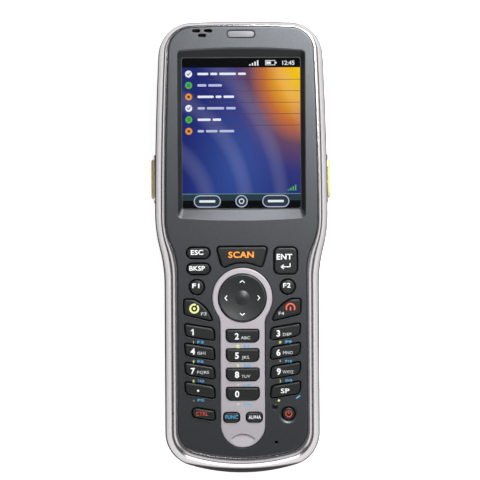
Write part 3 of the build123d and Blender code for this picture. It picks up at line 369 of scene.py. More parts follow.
@dataclass(frozen=True)
class Masked(Finish):
    """Finish that gives way to another one where a mask is 1."""

    under: Finish | None = None
    soft: float = 0.3 * MM  # half width of the mask's edge

    def mask(self, graph: Graph) -> Socket:
        """The mask from 0 to 1, which each kind makes in its own way."""
        raise NotImplementedError

    def below(self, graph: Graph) -> object:
        """Colour of the other finish."""
        return self.under.colour

    def inputs(self, graph: Graph) -> Feeds:
        """Inputs of the surface shader.

        Args:
            graph: Node tree that takes the nodes.

        Returns:
            The inputs and what feeds them.
        """
        mask = self.mask(graph)
        inputs = {
            "Base Color": graph.mix(mask, self.tone(graph), self.below(graph)),
            "Roughness": graph.span(mask, self.roughness, self.under.roughness),
            "Metallic": graph.span(mask, self.metallic, self.under.metallic),
            "Specular IOR Level": self.specular,
            "Normal": self.texture(graph),
        }
        if self.coat:
            inputs["Coat Weight"] = graph.span(mask, self.coat, 0.0)
            inputs["Coat Roughness"] = self.coat_roughness
        return inputs


@dataclass(frozen=True)
class Collared(Masked):
    """Textured moulding whose raised collars, far out on its sides, carry a lacquer."""

    reach: float = 33.35 * MM  # from the middle plane, past which only the collars lie
    soft: float = 0.01 * MM

    def mask(self, graph: Graph) -> Socket:
        """Mask that is 1 on the collars."""
        return graph.past(graph.aside(), self.reach, self.soft)

    def below(self, graph: Graph) -> object:
        """Colour of the lacquer with its grain."""
        return self.under.tone(graph)


@dataclass(frozen=True)
class ShadedFoot(Masked):
    """Lacquer with a dark band of painted shade above the foot and beyond an arc over the dock bay.
    """

    arc_centre: Point = (0.0, 31.4 * MM)
    arc_radius: float = 116.2 * MM
    low_end: float = -59.5 * MM  # Y before which the arc counts
    foot: float = 22.9 * MM  # height up to which the painted shade runs all round

    def mask(self, graph: Graph) -> Socket:
        """Mask of the painted shade, which is 1 on the foot and beyond the arc.

        Args:
            graph: Node tree that takes the nodes.

        Returns:
            The mask.
        """
        beyond = graph.past(graph.away_from(self.arc_centre), self.arc_radius, self.soft)
        low_end = graph.before(graph.along("Y"), self.low_end, 0.5 * MM)
        foot = graph.before(graph.along("Z"), self.foot, self.soft)
        return graph.sum_up("MAXIMUM", foot, graph.sum_up("MULTIPLY", beyond, low_end))


@dataclass(frozen=True)
class ShadedRecess(Masked):
    """Lacquer with painted shade on the walls round the display that face away from the light, but
    not on the lower one.
    """

    half_width: float = 25.6 * MM  # of the bay round the display
    start: float = 10.5 * MM  # Y from which the bay reaches
    face: float = 27.6 * MM  # height down to which the lacquer turns over the bay's edge
    soft: float = 0.15 * MM
    lit_slope: float = 0.2  # share of +Y in the normal, past which a wall keeps its lacquer

    def mask(self, graph: Graph) -> Socket:
        """Mask of the painted shade, which is 1 on the upper wall and the side walls.

        Args:
            graph: Node tree that takes the nodes.

        Returns:
            The mask.
        """
        slope = graph.along("Y", graph.node("NewGeometry").outputs["True Normal"])
        mask = graph.span(slope, 1.0, 0.0, self.lit_slope - 0.05, self.lit_slope)
        for within in (
            graph.before(graph.aside(), self.half_width, self.soft),
            graph.past(graph.along("Y"), self.start, self.soft),
            graph.before(graph.along("Z"), self.face, self.soft),
        ):
            mask = graph.sum_up("MULTIPLY", mask, within)
        return mask


@dataclass(frozen=True)
class Pane(Finish):
    """Clear or tinted pane with a few faint smudges."""

    ior: float = 1.49
    clearness: float = 1.0

    def inputs(self, graph: Graph) -> Feeds:
        """Inputs of the surface shader.

        Args:
            graph: Node tree that takes the nodes.

        Returns:
            The inputs and what feeds them.
        """
        smudges = graph.noise(9 * MM, 6.0)
        return {
            "Base Color": self.colour,
            "Roughness": graph.span(smudges, self.roughness, self.roughness + 0.05, 0.55, 0.8),
            "IOR": self.ior,
            "Transmission Weight": self.clearness,
            "Specular IOR Level": self.specular,
            "Normal": graph.relief(graph.noise(4 * MM), self.grain[1] * MM),
        }


@dataclass(frozen=True)
class Brushed(Finish):
    """Turned or rolled metal whose fine scratches run along X."""

    def inputs(self, graph: Graph) -> Feeds:
        """Inputs of the surface shader.

        Args:
            graph: Node tree that takes the nodes.

        Returns:
            The inputs and what feeds them.
        """
        lines = graph.noise(0.15 * MM, 2.0, graph.mapped(scale=(0.06, 1.0, 1.0)))
        return {
            "Base Color": self.wander(graph, lines),
            "Metallic": 1.0,
            "Roughness": graph.span(lines, self.roughness * 0.8, self.roughness * 1.25),
            "Normal": graph.relief(lines, self.grain[1] * MM, graph.rounded(self.edge * MM)),
        }


@dataclass(frozen=True)
class Board(Finish):
    """Printed circuit board: tracks that show faintly through the solder mask."""

    track_size: float = 1.1 * MM

    def inputs(self, graph: Graph) -> Feeds:
        """Inputs of the surface shader.

        Args:
            graph: Node tree that takes the nodes.

        Returns:
            The inputs and what feeds them.
        """
        tracks = graph.node("TexBrick", {
            "Vector": graph.place, "Scale": 1.0 / self.track_size, "Mortar Size": 0.09,
            "Color1": self.colour, "Color2": shaded(self.colour, 0.8),
            "Mortar": shaded(self.colour, 1.8),
        }).outputs
        return {
            "Base Color": tracks["Color"],
            "Roughness": graph.span(graph.noise(3 * MM), self.roughness, self.roughness + 0.1),
            "Coat Weight": 0.4,
            "Normal": graph.relief(tracks["Fac"], self.grain[1] * MM),
        }


@dataclass(frozen=True)
class Glow(Finish):
    """One flat colour of the lit picture, with the faint cells of the panel."""

    roughness: float = 0.4

    def light(self, graph: Graph) -> Socket:
        """Colour of the light."""
        cell = graph.span(graph.noise(0.4 * MM, 1.0), 0.0, 1.0, 0.3, 0.7)
        return graph.mix(cell, shaded(self.colour, 0.94), self.colour)

    def inputs(self, graph: Graph) -> Feeds:
        """Inputs of the surface shader, which is black but for its light."""
        return {
            "Base Color": (0.0, 0.0, 0.0), "Specular IOR Level": 0.0, "Roughness": self.roughness,
            "Emission Color": self.light(graph), "Emission Strength": 1.0,
        }


@dataclass(frozen=True)
class Wallpaper(Glow):
    """Background of the lit picture: a warm glow in one corner, blue elsewhere, soft ribbons."""

    warm: Point = (23 * MM, 68 * MM)
    warm_reach: float = 46 * MM
    cool: Point = (-2 * MM, 30 * MM)
    cool_reach: float = 24 * MM
    stops: tuple[tuple[float, Colour], ...] = (
        (0.0, tint(252, 208, 20)), (0.2, tint(246, 178, 28)), (0.36, tint(200, 112, 54)),
        (0.5, tint(104, 72, 100)), (0.68, tint(50, 54, 126)), (1.0, tint(32, 42, 116)),
    )  # from the warm corner out

    def light(self, graph: Graph) -> Socket:
        """Colour of the light.

        Args:
            graph: Node tree that takes the nodes.

        Returns:
            The colour.
        """
        warmth = graph.span(graph.away_from(self.warm, (1.15, 0.8)), 0.0, 1.0, 0.0, self.warm_reach)
        pool = graph.span(graph.away_from(self.cool, (1.2, 0.7)), 0.45, 0.0, 0.0, self.cool_reach)
        base = graph.mix(pool, graph.ramp(warmth, *self.stops), tint(70, 108, 190))
        wave = graph.node("TexWave", {
            "Vector": graph.mapped((34 * MM, -6 * MM, 0.0), (1.0, 0.7, 0.0)),
            "Scale": 22.0, "Distortion": 1.2, "Detail": 0.0,
        }, wave_type="RINGS", rings_direction="SPHERICAL")
        ribbon = graph.span(wave.outputs["Fac"], 0.0, 0.07, 0.5, 1.0)
        return graph.mix(ribbon, base, tint(214, 214, 240))


def ink(name: str, colour: Colour, painted_glow: float = 0.0) -> Finish:
    """Printing ink, with a faint painted glow where it's a bright one."""
    return Finish(f"ink_{name}", colour, 0.5, drift=0.03, grain=(0.28, 0.001), painted_glow=painted_glow)


SILVER_LACQUER = Finish(
    "silver_lacquer", tint(222, 217, 220), 0.22, metallic=0.92, drift=0.03, flake=0.08,
    grain=(0.16, 0.001), wear_and_highlight=0.05,
)
# Silver lacquer of the trim, with a dark band of painted shade along its foot and over the dock
# bay.
TRIM_LACQUER = ShadedFoot(
    "trim_lacquer", tint(226, 221, 223), 0.2, metallic=0.95, specular=0.12, drift=0.03, flake=0.06,
    grain=(0.16, 0.001), wear_and_highlight=0.03, coat=0.3, coat_roughness=0.08,
    under=Finish("painted_foot_shade", tint(34, 30, 28), 0.5),
)
REAR_SHELL = Collared(
    "rear_shell_texture", tint(72, 75, 78), 0.52, grain=(0.45, 0.03), wear_and_highlight=0.1,
    under=SILVER_LACQUER,
)
BATTERY_LID = Finish("battery_lid_texture", tint(68, 71, 74), 0.55, grain=(0.45, 0.03), wear_and_highlight=0.1)
# Gunmetal lacquer, with painted shade on the upper and side walls of the display bay.
GUNMETAL_LACQUER = ShadedRecess(
    "gunmetal_lacquer", tint(78, 80, 83), 0.42, metallic=0.88, specular=0.3, drift=0.04, flake=0.4,
    grain=(0.1, 0.004), wear_and_highlight=0.2, edge=0.3, under=Finish("painted_bay_shade", tint(24, 27, 27), 0.55),
)
LILAC_LACQUER = Finish(
    "lilac_lacquer", tint(188, 182, 188), 0.36, metallic=0.3, drift=0.03, flake=0.16,
    grain=(0.12, 0.003), wear_and_highlight=0.1,
)
KEY_PAINT = Finish(
    "key_paint", tint(30, 32, 32), 0.42, specular=0.4, drift=0.06, grain=(0.35, 0.008),
    wear_and_highlight=0.5, edge=0.25,
)
NAV_SATIN = Finish("nav_satin", tint(37, 40, 40), 0.38, drift=0.05, grain=(0.3, 0.003), wear_and_highlight=0.35)
AMBER_RUBBER = Finish(
    "amber_rubber", tint(232, 164, 70), 0.55, drift=0.05, grain=(0.4, 0.01), wear_and_highlight=0.12
)
BLACK_RUBBER = Finish("black_rubber_skin", tint(45, 46, 48), 0.66, grain=(0.3, 0.012), wear_and_highlight=0.2)
BLACK_PLASTIC = Finish("black_moulding", tint(38, 39, 41), 0.5, grain=(0.3, 0.01))
SILICONE = Finish("black_silicone", tint(34, 35, 37), 0.6, drift=0.05, grain=(0.28, 0.01))
SEAL_FOAM = Finish("seal_foam_cells", tint(52, 54, 56), 0.85, drift=0.15, grain=(0.5, 0.05))
LIGHT_PIPE = Finish(
    "frosted_pipe", tint(112, 112, 118), 0.34, drift=0.03, grain=(0.5, 0.002), wear_and_highlight=0.2
)
CHARGE_LENS = Finish(
    "charge_lens", tint(14, 15, 15), 0.12, grain=(0.4, 0.002), wear_and_highlight=0.3, coat=0.8
)
SCAN_PANE = Pane(
    "scan_pane_tint", (0.10, 0.012, 0.012), 0.03, grain=(0.28, 0.001), clearness=0.9
)
TOUCH_GLASS = Pane(
    "touch_glass_clear", (0.985, 0.99, 1.0), 0.015, specular=0.35, grain=(0.28, 0.0003)
)
LENS_GLASS = Pane("lens_glass", (0.9, 0.94, 1.0), 0.01, grain=(0.28, 0.0003), ior=1.6)
STEEL = Brushed("brushed_steel_skin", (0.56, 0.56, 0.57), 0.3, drift=0.12, grain=(0.28, 0.004))
GOLD = Brushed("gold_flash_skin", (0.83, 0.6, 0.24), 0.24, grain=(0.28, 0.002))
BOARD_GREEN = Board("board_mask", tint(28, 92, 60), 0.35, grain=(0.28, 0.02))
BATTERY_CASE = Finish("battery_case", tint(60, 62, 68), 0.5, grain=(0.4, 0.015))
STYLUS_BLACK = Finish(
    "stylus_polish", tint(42, 43, 46), 0.22, drift=0.05, grain=(0.28, 0.001), coat=0.5
)
GRILLE_BLACK = Finish("grille_cloth", tint(16, 17, 18), 0.8, grain=(0.25, 0.06), wear_and_highlight=0.0)

# The brighter inks carry a faint painted glow.
WHITE_INK = ink("white", tint(236, 240, 240), 0.12)
SOFT_WHITE_INK = ink("soft_white", tint(196, 202, 202))
ORANGE_INK = ink("orange", tint(248, 148, 44), 0.1)
RED_INK = ink("red", tint(222, 92, 66), 0.1)
DEEP_RED_INK = ink("deep_red", tint(196, 70, 52), 0.05)
BLUE_INK = ink("blue", tint(84, 172, 222), 0.05)
YELLOW_INK = ink("yellow", tint(226, 232, 142), 0.08)

WALLPAPER = Wallpaper("picture_background", tint(40, 50, 150))
GLOW_WHITE = Glow("picture_white", tint(244, 246, 252))
GLOW_LILAC = Glow("picture_lilac", tint(198, 200, 232))
GLOW_BLACK = Glow("picture_black", tint(6, 7, 8))
GLOW_SLATE = Glow("picture_slate", tint(42, 62, 72))
GLOW_TEAL = Glow("picture_teal", tint(104, 146, 148))
GLOW_GREEN = Glow("picture_green", tint(84, 190, 76))
GLOW_AMBER = Glow("picture_amber", tint(236, 152, 56))
GLOW_LINE = Glow("picture_line", tint(88, 62, 78))


def dress(finish: Finish, *nodes: str) -> None:
    """Gives CAD nodes that stay in view their finish.

    Args:
        finish: The finish.
        nodes: Names of the CAD nodes.
    """
    for name in nodes:
        node = frame["nodes"][name]
        if not node.material_slots:
            node.data.materials.append(None)
        for place in node.material_slots:
            place.material = finish.material()


# ------------------------------------------------------------------ shapes
def set_type(text: str, bold: float) -> bpy.types.Mesh:
    """Sets a line of text at size 1, from the origin and with its middle at Z 0.

    Args:
        text: The characters.
        bold: How far the strokes are thickened, as a share of the type size.

    Returns:
        The line as a mesh.
    """
    curve = bpy.data.curves.new("print", "FONT")
    curve.body = text
    curve.space_character = 1.0 + 1.5 * bold
    curve.resolution_u = 3
    curve.bevel_depth = bold
    curve.bevel_resolution = 0
    curve.extrude = TYPE_THICKNESS / 2
    setter = bpy.data.objects.new("print", curve)
    bpy.context.scene.collection.objects.link(setter)
    bpy.context.view_layer.update()
    graph = bpy.context.evaluated_depsgraph_get()
    mesh = bpy.data.meshes.new_from_object(setter.evaluated_get(graph))
    bpy.data.objects.remove(setter)
    bpy.data.curves.remove(curve)
    return mesh


def centre_of(node: str) -> Vector:
    """Middle of a CAD node's box."""
    low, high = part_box(node)
    return (low + high) / 2


def islands(node: str) -> list[Vector]:
    """Middles of the boxes round the separate solids in one CAD node.

    Args:
        node: Name of the CAD node.

    Returns:
        The middles.
    """
    mesh = bmesh.new()
    mesh.from_mesh(frame["nodes"][node].data)
    bmesh.ops.remove_doubles(mesh, verts=mesh.verts, dist=CLOSE)
    left, middles = set(mesh.verts), []
    while left:
        front = {left.pop()}
        found = set(front)
        while front:
            front = {e.other_vert(v) for v in front for e in v.link_edges} & left
            left -= front
            found |= front
        spans = [[v.co[axis] for v in found] for axis in range(3)]
        middles.append(Vector([(min(span) + max(span)) / 2 for span in spans]))
    mesh.free()
    return middles


class Former:
    """Gathers shapes in one mesh and finishes them as one piece."""

    def __init__(self) -> None:
        """Starts with an empty mesh."""
        self.mesh = bmesh.new()

    def bevel(self, edges: list[bmesh.types.BMEdge], radius: float, steps: int) -> None:
        """Rounds edges, with a number of faces across each."""
        bmesh.ops.bevel(
            self.mesh, geom=edges, offset=radius, segments=steps, profile=0.5,
            affect="EDGES", material=-1, clamp_overlap=True,
        )

    def block(self, low: Vector, high: Vector, corner: float = 0.0, steps: int = 4) -> None:
        """Adds a block whose upright edges may be rounded.

        Args:
            low: Lowest corner.
            high: Highest corner.
            corner: Radius of the upright edges.
            steps: Faces round each upright edge.
        """
        size = high - low
        place = Matrix.Translation((low + high) / 2) @ Matrix.Diagonal((*size, 1.0))
        verts = bmesh.ops.create_cube(self.mesh, size=1.0, matrix=place)["verts"]
        if corner:
            edges = {e for v in verts for e in v.link_edges}
            rises = [e for e in edges if abs(e.verts[0].co.z - e.verts[1].co.z) > size.z / 2]
            self.bevel(rises, corner, steps)

    def flat(self, box: Box, level: Level, corner: float = 0.0) -> None:
        """Adds a flat plate, whose corners may be rounded."""
        self.block(Vector((*box[:2], level[0])), Vector((*box[2:], level[1])), corner)

    def bar(self, start: Point, end: Point, width: float, level: Level) -> None:
        """Adds a flat bar between two places.

        Args:
            start: X and Y of one end.
            end: X and Y of the other end.
            width: Width of the bar.
            level: Z of its underside and of its face.
        """
        along = Vector(end) - Vector(start)
        middle = (Vector(start) + Vector(end)) / 2
        turn = Matrix.Rotation(math.atan2(along.y, along.x), 4, "Z")
        size = Matrix.Diagonal((along.length + width, width, level[1] - level[0], 1.0))
        place = Matrix.Translation((*middle, sum(level) / 2)) @ turn @ size
        bmesh.ops.create_cube(self.mesh, size=1.0, matrix=place)

    def soften(self, height: float, radius: float, steps: int = 4) -> None:
        """Rounds the edges that lie flat at one height.

        Args:
            height: Z of the edges.
            radius: Radius of the rounding.
            steps: Faces across it.
        """
        edges = self.mesh.edges
        flat = [e for e in edges if all(abs(v.co.z - height) < CLOSE for v in e.verts)]
        self.bevel(flat, radius, steps)

    def disc(self, centre: Point, radius: float, level: Level, sides: int = 20) -> None:
        """Adds a disc.

        Args:
            centre: X and Y of its middle.
            radius: Its radius.
            level: Z of its underside and of its face.
            sides: Faces round its edge.
        """
        bmesh.ops.create_cone(
            self.mesh, cap_ends=True, segments=sides, radius1=radius, radius2=radius,
            depth=level[1] - level[0], matrix=Matrix.Translation((*centre, sum(level) / 2)),
        )

    def arc(
        self, centre: Point, outer: float, inner: float, level: Level,
        start: float = 0.0, sweep: float = 360.0,
    ) -> None:
        """Adds a flat ring or a part of one.

        Args:
            centre: X and Y of its middle.
            outer: Outer radius.
            inner: Inner radius.
            level: Z of its underside and of its face.
            start: Angle at which it starts, in degrees from +X.
            sweep: Angle that it covers, in degrees.
        """
        low, high = level
        turn = Matrix.Translation((*centre, 0.0)) @ Matrix.Rotation(math.radians(start), 4, "Z")
        corners = ((inner, low), (outer, low), (outer, high), (inner, high))
        verts = [self.mesh.verts.new(turn @ Vector((reach, 0.0, z))) for reach, z in corners]
        face = self.mesh.faces.new(verts)
        geometry = [*face.edges, *verts]
        whole = sweep == 360.0
        if whole:
            bmesh.ops.delete(self.mesh, geom=[face], context="FACES_ONLY")
        else:
            geometry.append(face)
        bmesh.ops.spin(
            self.mesh, geom=geometry, cent=(*centre, 0.0), axis=(0, 0, 1),
            angle=math.radians(sweep), steps=ARC_STEPS, use_merge=whole,
        )

    def words(
        self, text: str, centre: Point, height: float, level: Level, bold: float,
        width: float = 0.0,
    ) -> None:
        """Adds a line of text.

        Args:
            text: The characters.
            centre: X and Y of the middle of its capitals.
            height: Height of its capitals.
            level: Z of its underside and of its face.
            bold: How far the strokes are thickened, as a share of the type size.
            width: Width of the line, or 0 for the width that its height gives.
        """
        mesh = set_type(text, bold)
        xs = [v.co.x for v in mesh.vertices]
        tall = height / (CAP_HEIGHT + 2 * bold)
        wide = width / (max(xs) - min(xs)) if width else tall
        deep = (level[1] - level[0]) / (2 * max(v.co.z for v in mesh.vertices))
        mesh.transform(
            Matrix.Translation((*centre, sum(level) / 2))
            @ Matrix.Diagonal((wide, tall, deep, 1.0))
            @ Matrix.Translation((-(min(xs) + max(xs)) / 2, -CAP_HEIGHT / 2, 0.0))
        )
        self.mesh.from_mesh(mesh)
        bpy.data.meshes.remove(mesh)

    def slice(self, pitch: float) -> None:
        """Cuts the shapes along a grid, so that they can follow a curved surface.

        Args:
            pitch: Distance between two cuts.
        """
        mesh = self.mesh
        for along in (Vector((1, 0, 0)), Vector((0, 1, 0))):
            places = [v.co.dot(along) for v in mesh.verts]
            first, last = math.ceil(min(places) / pitch), math.floor(max(places) / pitch)
            for number in range(first, last + 1):
                bmesh.ops.bisect_plane(
                    mesh, geom=[*mesh.verts, *mesh.edges, *mesh.faces], dist=0.0001 * MM,
                    plane_co=along * number * pitch, plane_no=along,
                )

    def settle(self, node: str) -> None:
        """Drops the shapes along -Z on a CAD node, so that Z 0 of a shape lies on its surface.

        Args:
            node: Name of the CAD node.
        """
        ground = frame["nodes"][node].data
        faces = [tuple(p.vertices) for p in ground.polygons]
        tree = BVHTree.FromPolygons([v.co for v in ground.vertices], faces)
        above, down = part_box(node)[1].z + MM, Vector((0, 0, -1))
        verts = self.mesh.verts
        hits = [tree.ray_cast(Vector((*v.co.xy, above)), down)[0] for v in verts]
        heights = sorted(hit.z for hit in hits if hit)
        usual = heights[len(heights) // 2]
        for vertex, hit in zip(verts, hits):
            vertex.co.z += hit.z if hit and abs(hit.z - usual) < MM else usual

    def piece(
        self, name: str, finish: Finish, slot: Slot, body: str = "root", smooth: bool = False
    ) -> bpy.types.Object:
        """Ends the mesh as one piece that rides on a body.

        Args:
            name: Name of the piece.
            finish: Its finish.
            slot: Material slot that it belongs to; not used.
            body: CAD body that carries it.
            smooth: Whether curved faces are shaded smooth.

        Returns:
            The finished object.
        """
        bmesh.ops.remove_doubles(self.mesh, verts=self.mesh.verts, dist=WELD)
        bmesh.ops.recalc_face_normals(self.mesh, faces=self.mesh.faces)
        made = self.end(name, finish.material())
        if smooth:
            data = made.data
            if data.has_custom_normals:
                data.attributes.remove(data.attributes["custom_normal"])
            data.shade_smooth()
            data.set_sharp_from_angle(angle=SMOOTH_ANGLE)
        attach(made, body)
        log.info("%s: %d faces on %s", name, len(made.data.polygons), body)
        return made

    def end(self, name: str, material: bpy.types.Material) -> bpy.types.Object:
        """Turns the mesh into an object of one material.

        Args:
            name: Name of the object.
            material: Its material.

        Returns:
            The object.
        """
        data = bpy.data.meshes.new(name)
        self.mesh.to_mesh(data)
        self.mesh.free()
        data.materials.clear()
        data.materials.append(material)
        made = bpy.data.objects.new(name, data)
        bpy.context.scene.collection.objects.link(made)
        return made


# ------------------------------------------------------------------ shells
@dataclass
class Shells:
    """Rear housing, silver trim, front bezel, the seal between them and the screws."""

    head_radius: float = 1.9 * MM
    head_height: float = 1.4 * MM
    head_rim: float = 0.2 * MM
    socket_radius: float = 1.05 * MM
    socket_depth: float = 0.8 * MM
    lobes: int = 6
    lobe_share: float = 0.14  # how far a lobe's middle and its sides differ from the mean reach
    shank_radius: float = 0.92 * MM
    thread_height: float = 0.08 * MM
    thread_pitch: float = 0.7 * MM
    thread_steps: int = 12  # faces along one turn of the thread
    slope: float = 0.05 * MM  # rise across each flat, so that its two rings bridge straight

    def build(self) -> None:
        """Dresses the shells and makes the trim and the screws."""
        dress(REAR_SHELL, "rear_housing")
        dress(GUNMETAL_LACQUER, "front_bezel")
        dress(SILICONE, "housing_gasket")
        dress(STEEL, "strap_bars")
        self.trim()
        self.screws()

    def trim(self) -> None:
        """Makes the silver trim as one merged skin, so that its rolled section has no bands."""
        former = Former()
        former.mesh.from_mesh(frame["nodes"]["silver_trim"].data)
        made = former.piece("trim_skin", TRIM_LACQUER, Slot.SILVER_PAINT, smooth=True)
        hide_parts("silver_trim")

    def screws(self) -> None:
        """Makes the six screws with their lobed sockets and threads."""
        former = Former()
        low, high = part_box("housing_screws")
        for middle in islands("housing_screws"):
            self.screw(former.mesh, middle.xy, low.z, high.z)
        made = former.piece("case_screws", STEEL, Slot.STEEL, smooth=True)
        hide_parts("housing_screws")

    def screw(self, mesh: bmesh.types.BMesh, place: Vector, low: float, high: float) -> None:
        """Makes one screw that points up, with its head at the bottom.

        Args:
            mesh: Mesh that takes the screw.
            place: X and Y of its axis.
            low: Z of the head's face.
            high: Z of the tip.
        """
        shank, head, socket = self.shank_radius, self.head_radius, self.socket_radius
        collar, lobe = low + self.head_height, self.lobe_share
        rings = (
            (shank, high, 0.0), (shank, collar, 0.0), (head, collar - self.slope, 0.0),
            (head, low + self.head_rim, 0.0), (head - self.head_rim, low, 0.0),
            (socket, low + self.slope, lobe), (socket, low + self.socket_depth, lobe),
        )
        loops = [self.ring(mesh, place, *ring) for ring in rings]
        for first, second in zip(loops, loops[1:]):
            bmesh.ops.bridge_loops(mesh, edges=first + second)
        for end in (loops[0], loops[-1]):
            bmesh.ops.holes_fill(mesh, edges=end, sides=0)
        self.thread(mesh, place, collar, high)

    def ring(
        self, mesh: bmesh.types.BMesh, place: Vector, radius: float, z: float, lobe: float
    ) -> list[bmesh.types.BMEdge]:
        """Adds a closed loop of edges round the screw's axis.

        Args:
            mesh: Mesh that takes the loop.
            place: X and Y of the axis.
            radius: Furthest reach of the loop.
            z: Height of the loop.
            lobe: Share of the radius by which the lobes swing about their mean.

        Returns:
            The edges.
        """
        verts = bmesh.ops.create_circle(mesh, segments=4 * self.lobes, radius=1.0)["verts"]
        for vertex in verts:
            angle = math.atan2(vertex.co.y, vertex.co.x)
            reach = radius * (1 - lobe + lobe * math.cos(self.lobes * angle))
            x, y = place.x + reach * math.cos(angle), place.y + reach * math.sin(angle)
            vertex.co = (x, y, z)
        return list({e for v in verts for e in v.link_edges})

    def thread(self, mesh: bmesh.types.BMesh, place: Vector, low: float, high: float) -> None:
        """Adds the ridge of the thread round the shank.

        Args:
            mesh: Mesh that takes the ridge.
            place: X and Y of the axis.
            low: Z at which the thread starts.
            high: Z at which it ends.
        """
        pitch = self.thread_pitch
        turns = (high - low - pitch) / pitch
        steps = int(turns * self.thread_steps)
        inner, outer = self.shank_radius * 0.98, self.shank_radius + self.thread_height
        corners = ((inner, 0.2), (outer, 0.5), (inner, 0.8))
        verts = [mesh.verts.new((place.x + r, place.y, low + pitch * up)) for r, up in corners]
        face = mesh.faces.new(verts)
        bmesh.ops.spin(
            mesh, geom=[face, *face.edges, *verts], cent=(*place, 0.0), axis=(0, 0, 1),
            dvec=(0, 0, turns * pitch / steps), angle=turns * math.tau, steps=steps,
            use_merge=False,
        )


# ------------------------------------------------------------------ display
@dataclass
class Display:
    """Gasket, touch glass, panel in its metal frame, and the lit picture."""

    side: float = 22.7 * MM  # half width of the picture in view
    bottom: float = 14.9 * MM
    top: float = 72.6 * MM
    margin: float = 0.6 * MM  # how far the picture runs on under the gasket
    panel_drop: float = 0.12 * MM  # how far the panel lies under its frame
    layer: float = 0.012 * MM
    status_height: float = 3.6 * MM
    tool_height: float = 5.4 * MM
    row_pitch: float = 4.4 * MM
    row_strips: tuple[tuple[float, ...], ...] = (
        (4.2, 2.6, 6.4, 3.0), (3.4, 5.2), (6.2, 2.2, 4.0), (2.8, 6.6, 3.6), (5.0, 3.2),
        (2.4, 4.4, 5.6),
    )  # lengths of the strips that stand for words, in millimetres
    strip_half: float = 0.45 * MM
    strip_round: float = 0.3 * MM
    strip_gap: float = 0.8 * MM
    line_half: float = 0.09 * MM
    icon_radius: float = 1.35 * MM
    icon_x: float = -20.1 * MM
    text_x: float = -16.7 * MM

    def build(self) -> None:
        """Dresses the window and gasket and makes the panel and its picture."""
        dress(SEAL_FOAM, "display_gasket")
        dress(TOUCH_GLASS, "display_window")
        self.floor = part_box("lcd_module")[1].z - self.panel_drop
        self.panel()
        self.grounds()
        self.rows()
        self.status_signs()
        self.tool_buttons()

    def level(self, number: int) -> Level:
        """Z of the underside and face of a layer of the picture."""
        low = self.floor + number * self.layer
        return low, low + self.layer * 0.8

    def show(self, **parts: tuple[Former, Finish]) -> None:
        """Ends parts of the picture as pieces, by the last part of their names."""
        for name, (former, finish) in parts.items():
            former.piece(f"picture_{name}", finish, Slot.LIT_SCREEN)

    def panel(self) -> None:
        """Makes the panel's metal frame, a folded tray round the glass of the panel."""
        low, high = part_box("lcd_module")
        rim, seat = self.side + self.margin, self.floor - self.layer
        former = Former()
        former.block(low, Vector((high.x, high.y, seat)), 0.6 * MM)
        for box in (
            (low.x, low.y, -rim, high.y),
            (rim, low.y, high.x, high.y),
            (-rim, low.y, rim, self.bottom - self.margin),
            (-rim, self.top + self.margin, rim, high.y),
        ):
            former.flat(box, (seat, high.z))
        made = former.piece("panel_frame", STEEL, Slot.LIT_SCREEN)
        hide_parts("lcd_module")

    def grounds(self) -> None:
        """Makes the background, the bars at its ends and the lines between the rows."""
        side = self.side + self.margin
        foot, head = self.bottom - self.margin, self.top + self.margin
        tool, half_tool = (self.bottom + self.tool_height * share for share in (1.0, 0.55))
        status, line = self.top - self.status_height, self.line_half
        rules = [self.row_y(row) + self.row_pitch / 2 for row in range(1, len(self.row_strips))]
        for name, finish, number, boxes in (
            ("background", WALLPAPER, 0, [(-side, foot, side, head)]),
            ("bars", GLOW_BLACK, 1, [(-side, status, side, head), (-side, foot, side, half_tool)]),
            ("tool_bar", GLOW_SLATE, 1, [(-side, half_tool, side, tool)]),
            ("tool_edge", GLOW_TEAL, 2, [(-side, tool, side, tool + 0.25 * MM)]),
            ("lines", GLOW_LINE, 1, [(-self.side * 0.55, y - line, side, y + line) for y in rules]),
        ):
            former = Former()
            for box in boxes:
                former.flat(box, self.level(number))
            self.show(**{name: (former, finish)})

    def row_y(self, row: int) -> float:
        """Y of the middle of a row."""
        return self.top - self.status_height - self.row_pitch * (row + 0.55)

    def rows(self) -> None:
        """Makes the rows: a sign at the left and the strips that stand for its words."""
        white, lilac, green, amber = (Former() for _ in range(4))
        level = self.level(2)
        for row, strips in enumerate(self.row_strips):
            y = self.row_y(row)
            (white, green, amber)[row % 3].disc((self.icon_x, y), self.icon_radius, level, 32)
            start = self.text_x
            for length in strips:
                end = start + length * MM
                box = (start, y - self.strip_half, end, y + self.strip_half)
                (white, lilac)[row % 2].flat(box, level, self.strip_round)
                start = end + self.strip_gap
            self.mark(row, self.icon_x, y)
        self.show(
            white_signs=(white, GLOW_WHITE), strips=(lilac, GLOW_LILAC),
            green_signs=(green, GLOW_GREEN), amber_signs=(amber, GLOW_AMBER),
        )

    def mark(self, row: int, x: float, y: float) -> None:
        """Makes the small dark mark inside a row's sign: a tick, three lines or a dot by turns.

        Args:
            row: Number of the row.
            x: X of the sign's middle.
            y: Y of the sign's middle.
        """
        former = Former()
        level, width = self.level(3), 0.3 * MM
        half, deep = 0.55 * MM, 0.45 * MM
        if row % 3 == 0:
            foot = (x - 0.1 * MM, y - deep)
            former.bar((x - half, y), foot, width, level)
            former.bar(foot, (x + 0.65 * MM, y + 0.5 * MM), width, level)
        elif row % 3 == 1:
            for lift in (-deep, 0.0, deep):
                former.bar((x - half, y + lift), (x + half, y + lift), width * 0.7, level)
        else:
            former.disc((x, y), 0.5 * MM, level)
        self.show(**{f"mark_{row}": (former, GLOW_SLATE)})

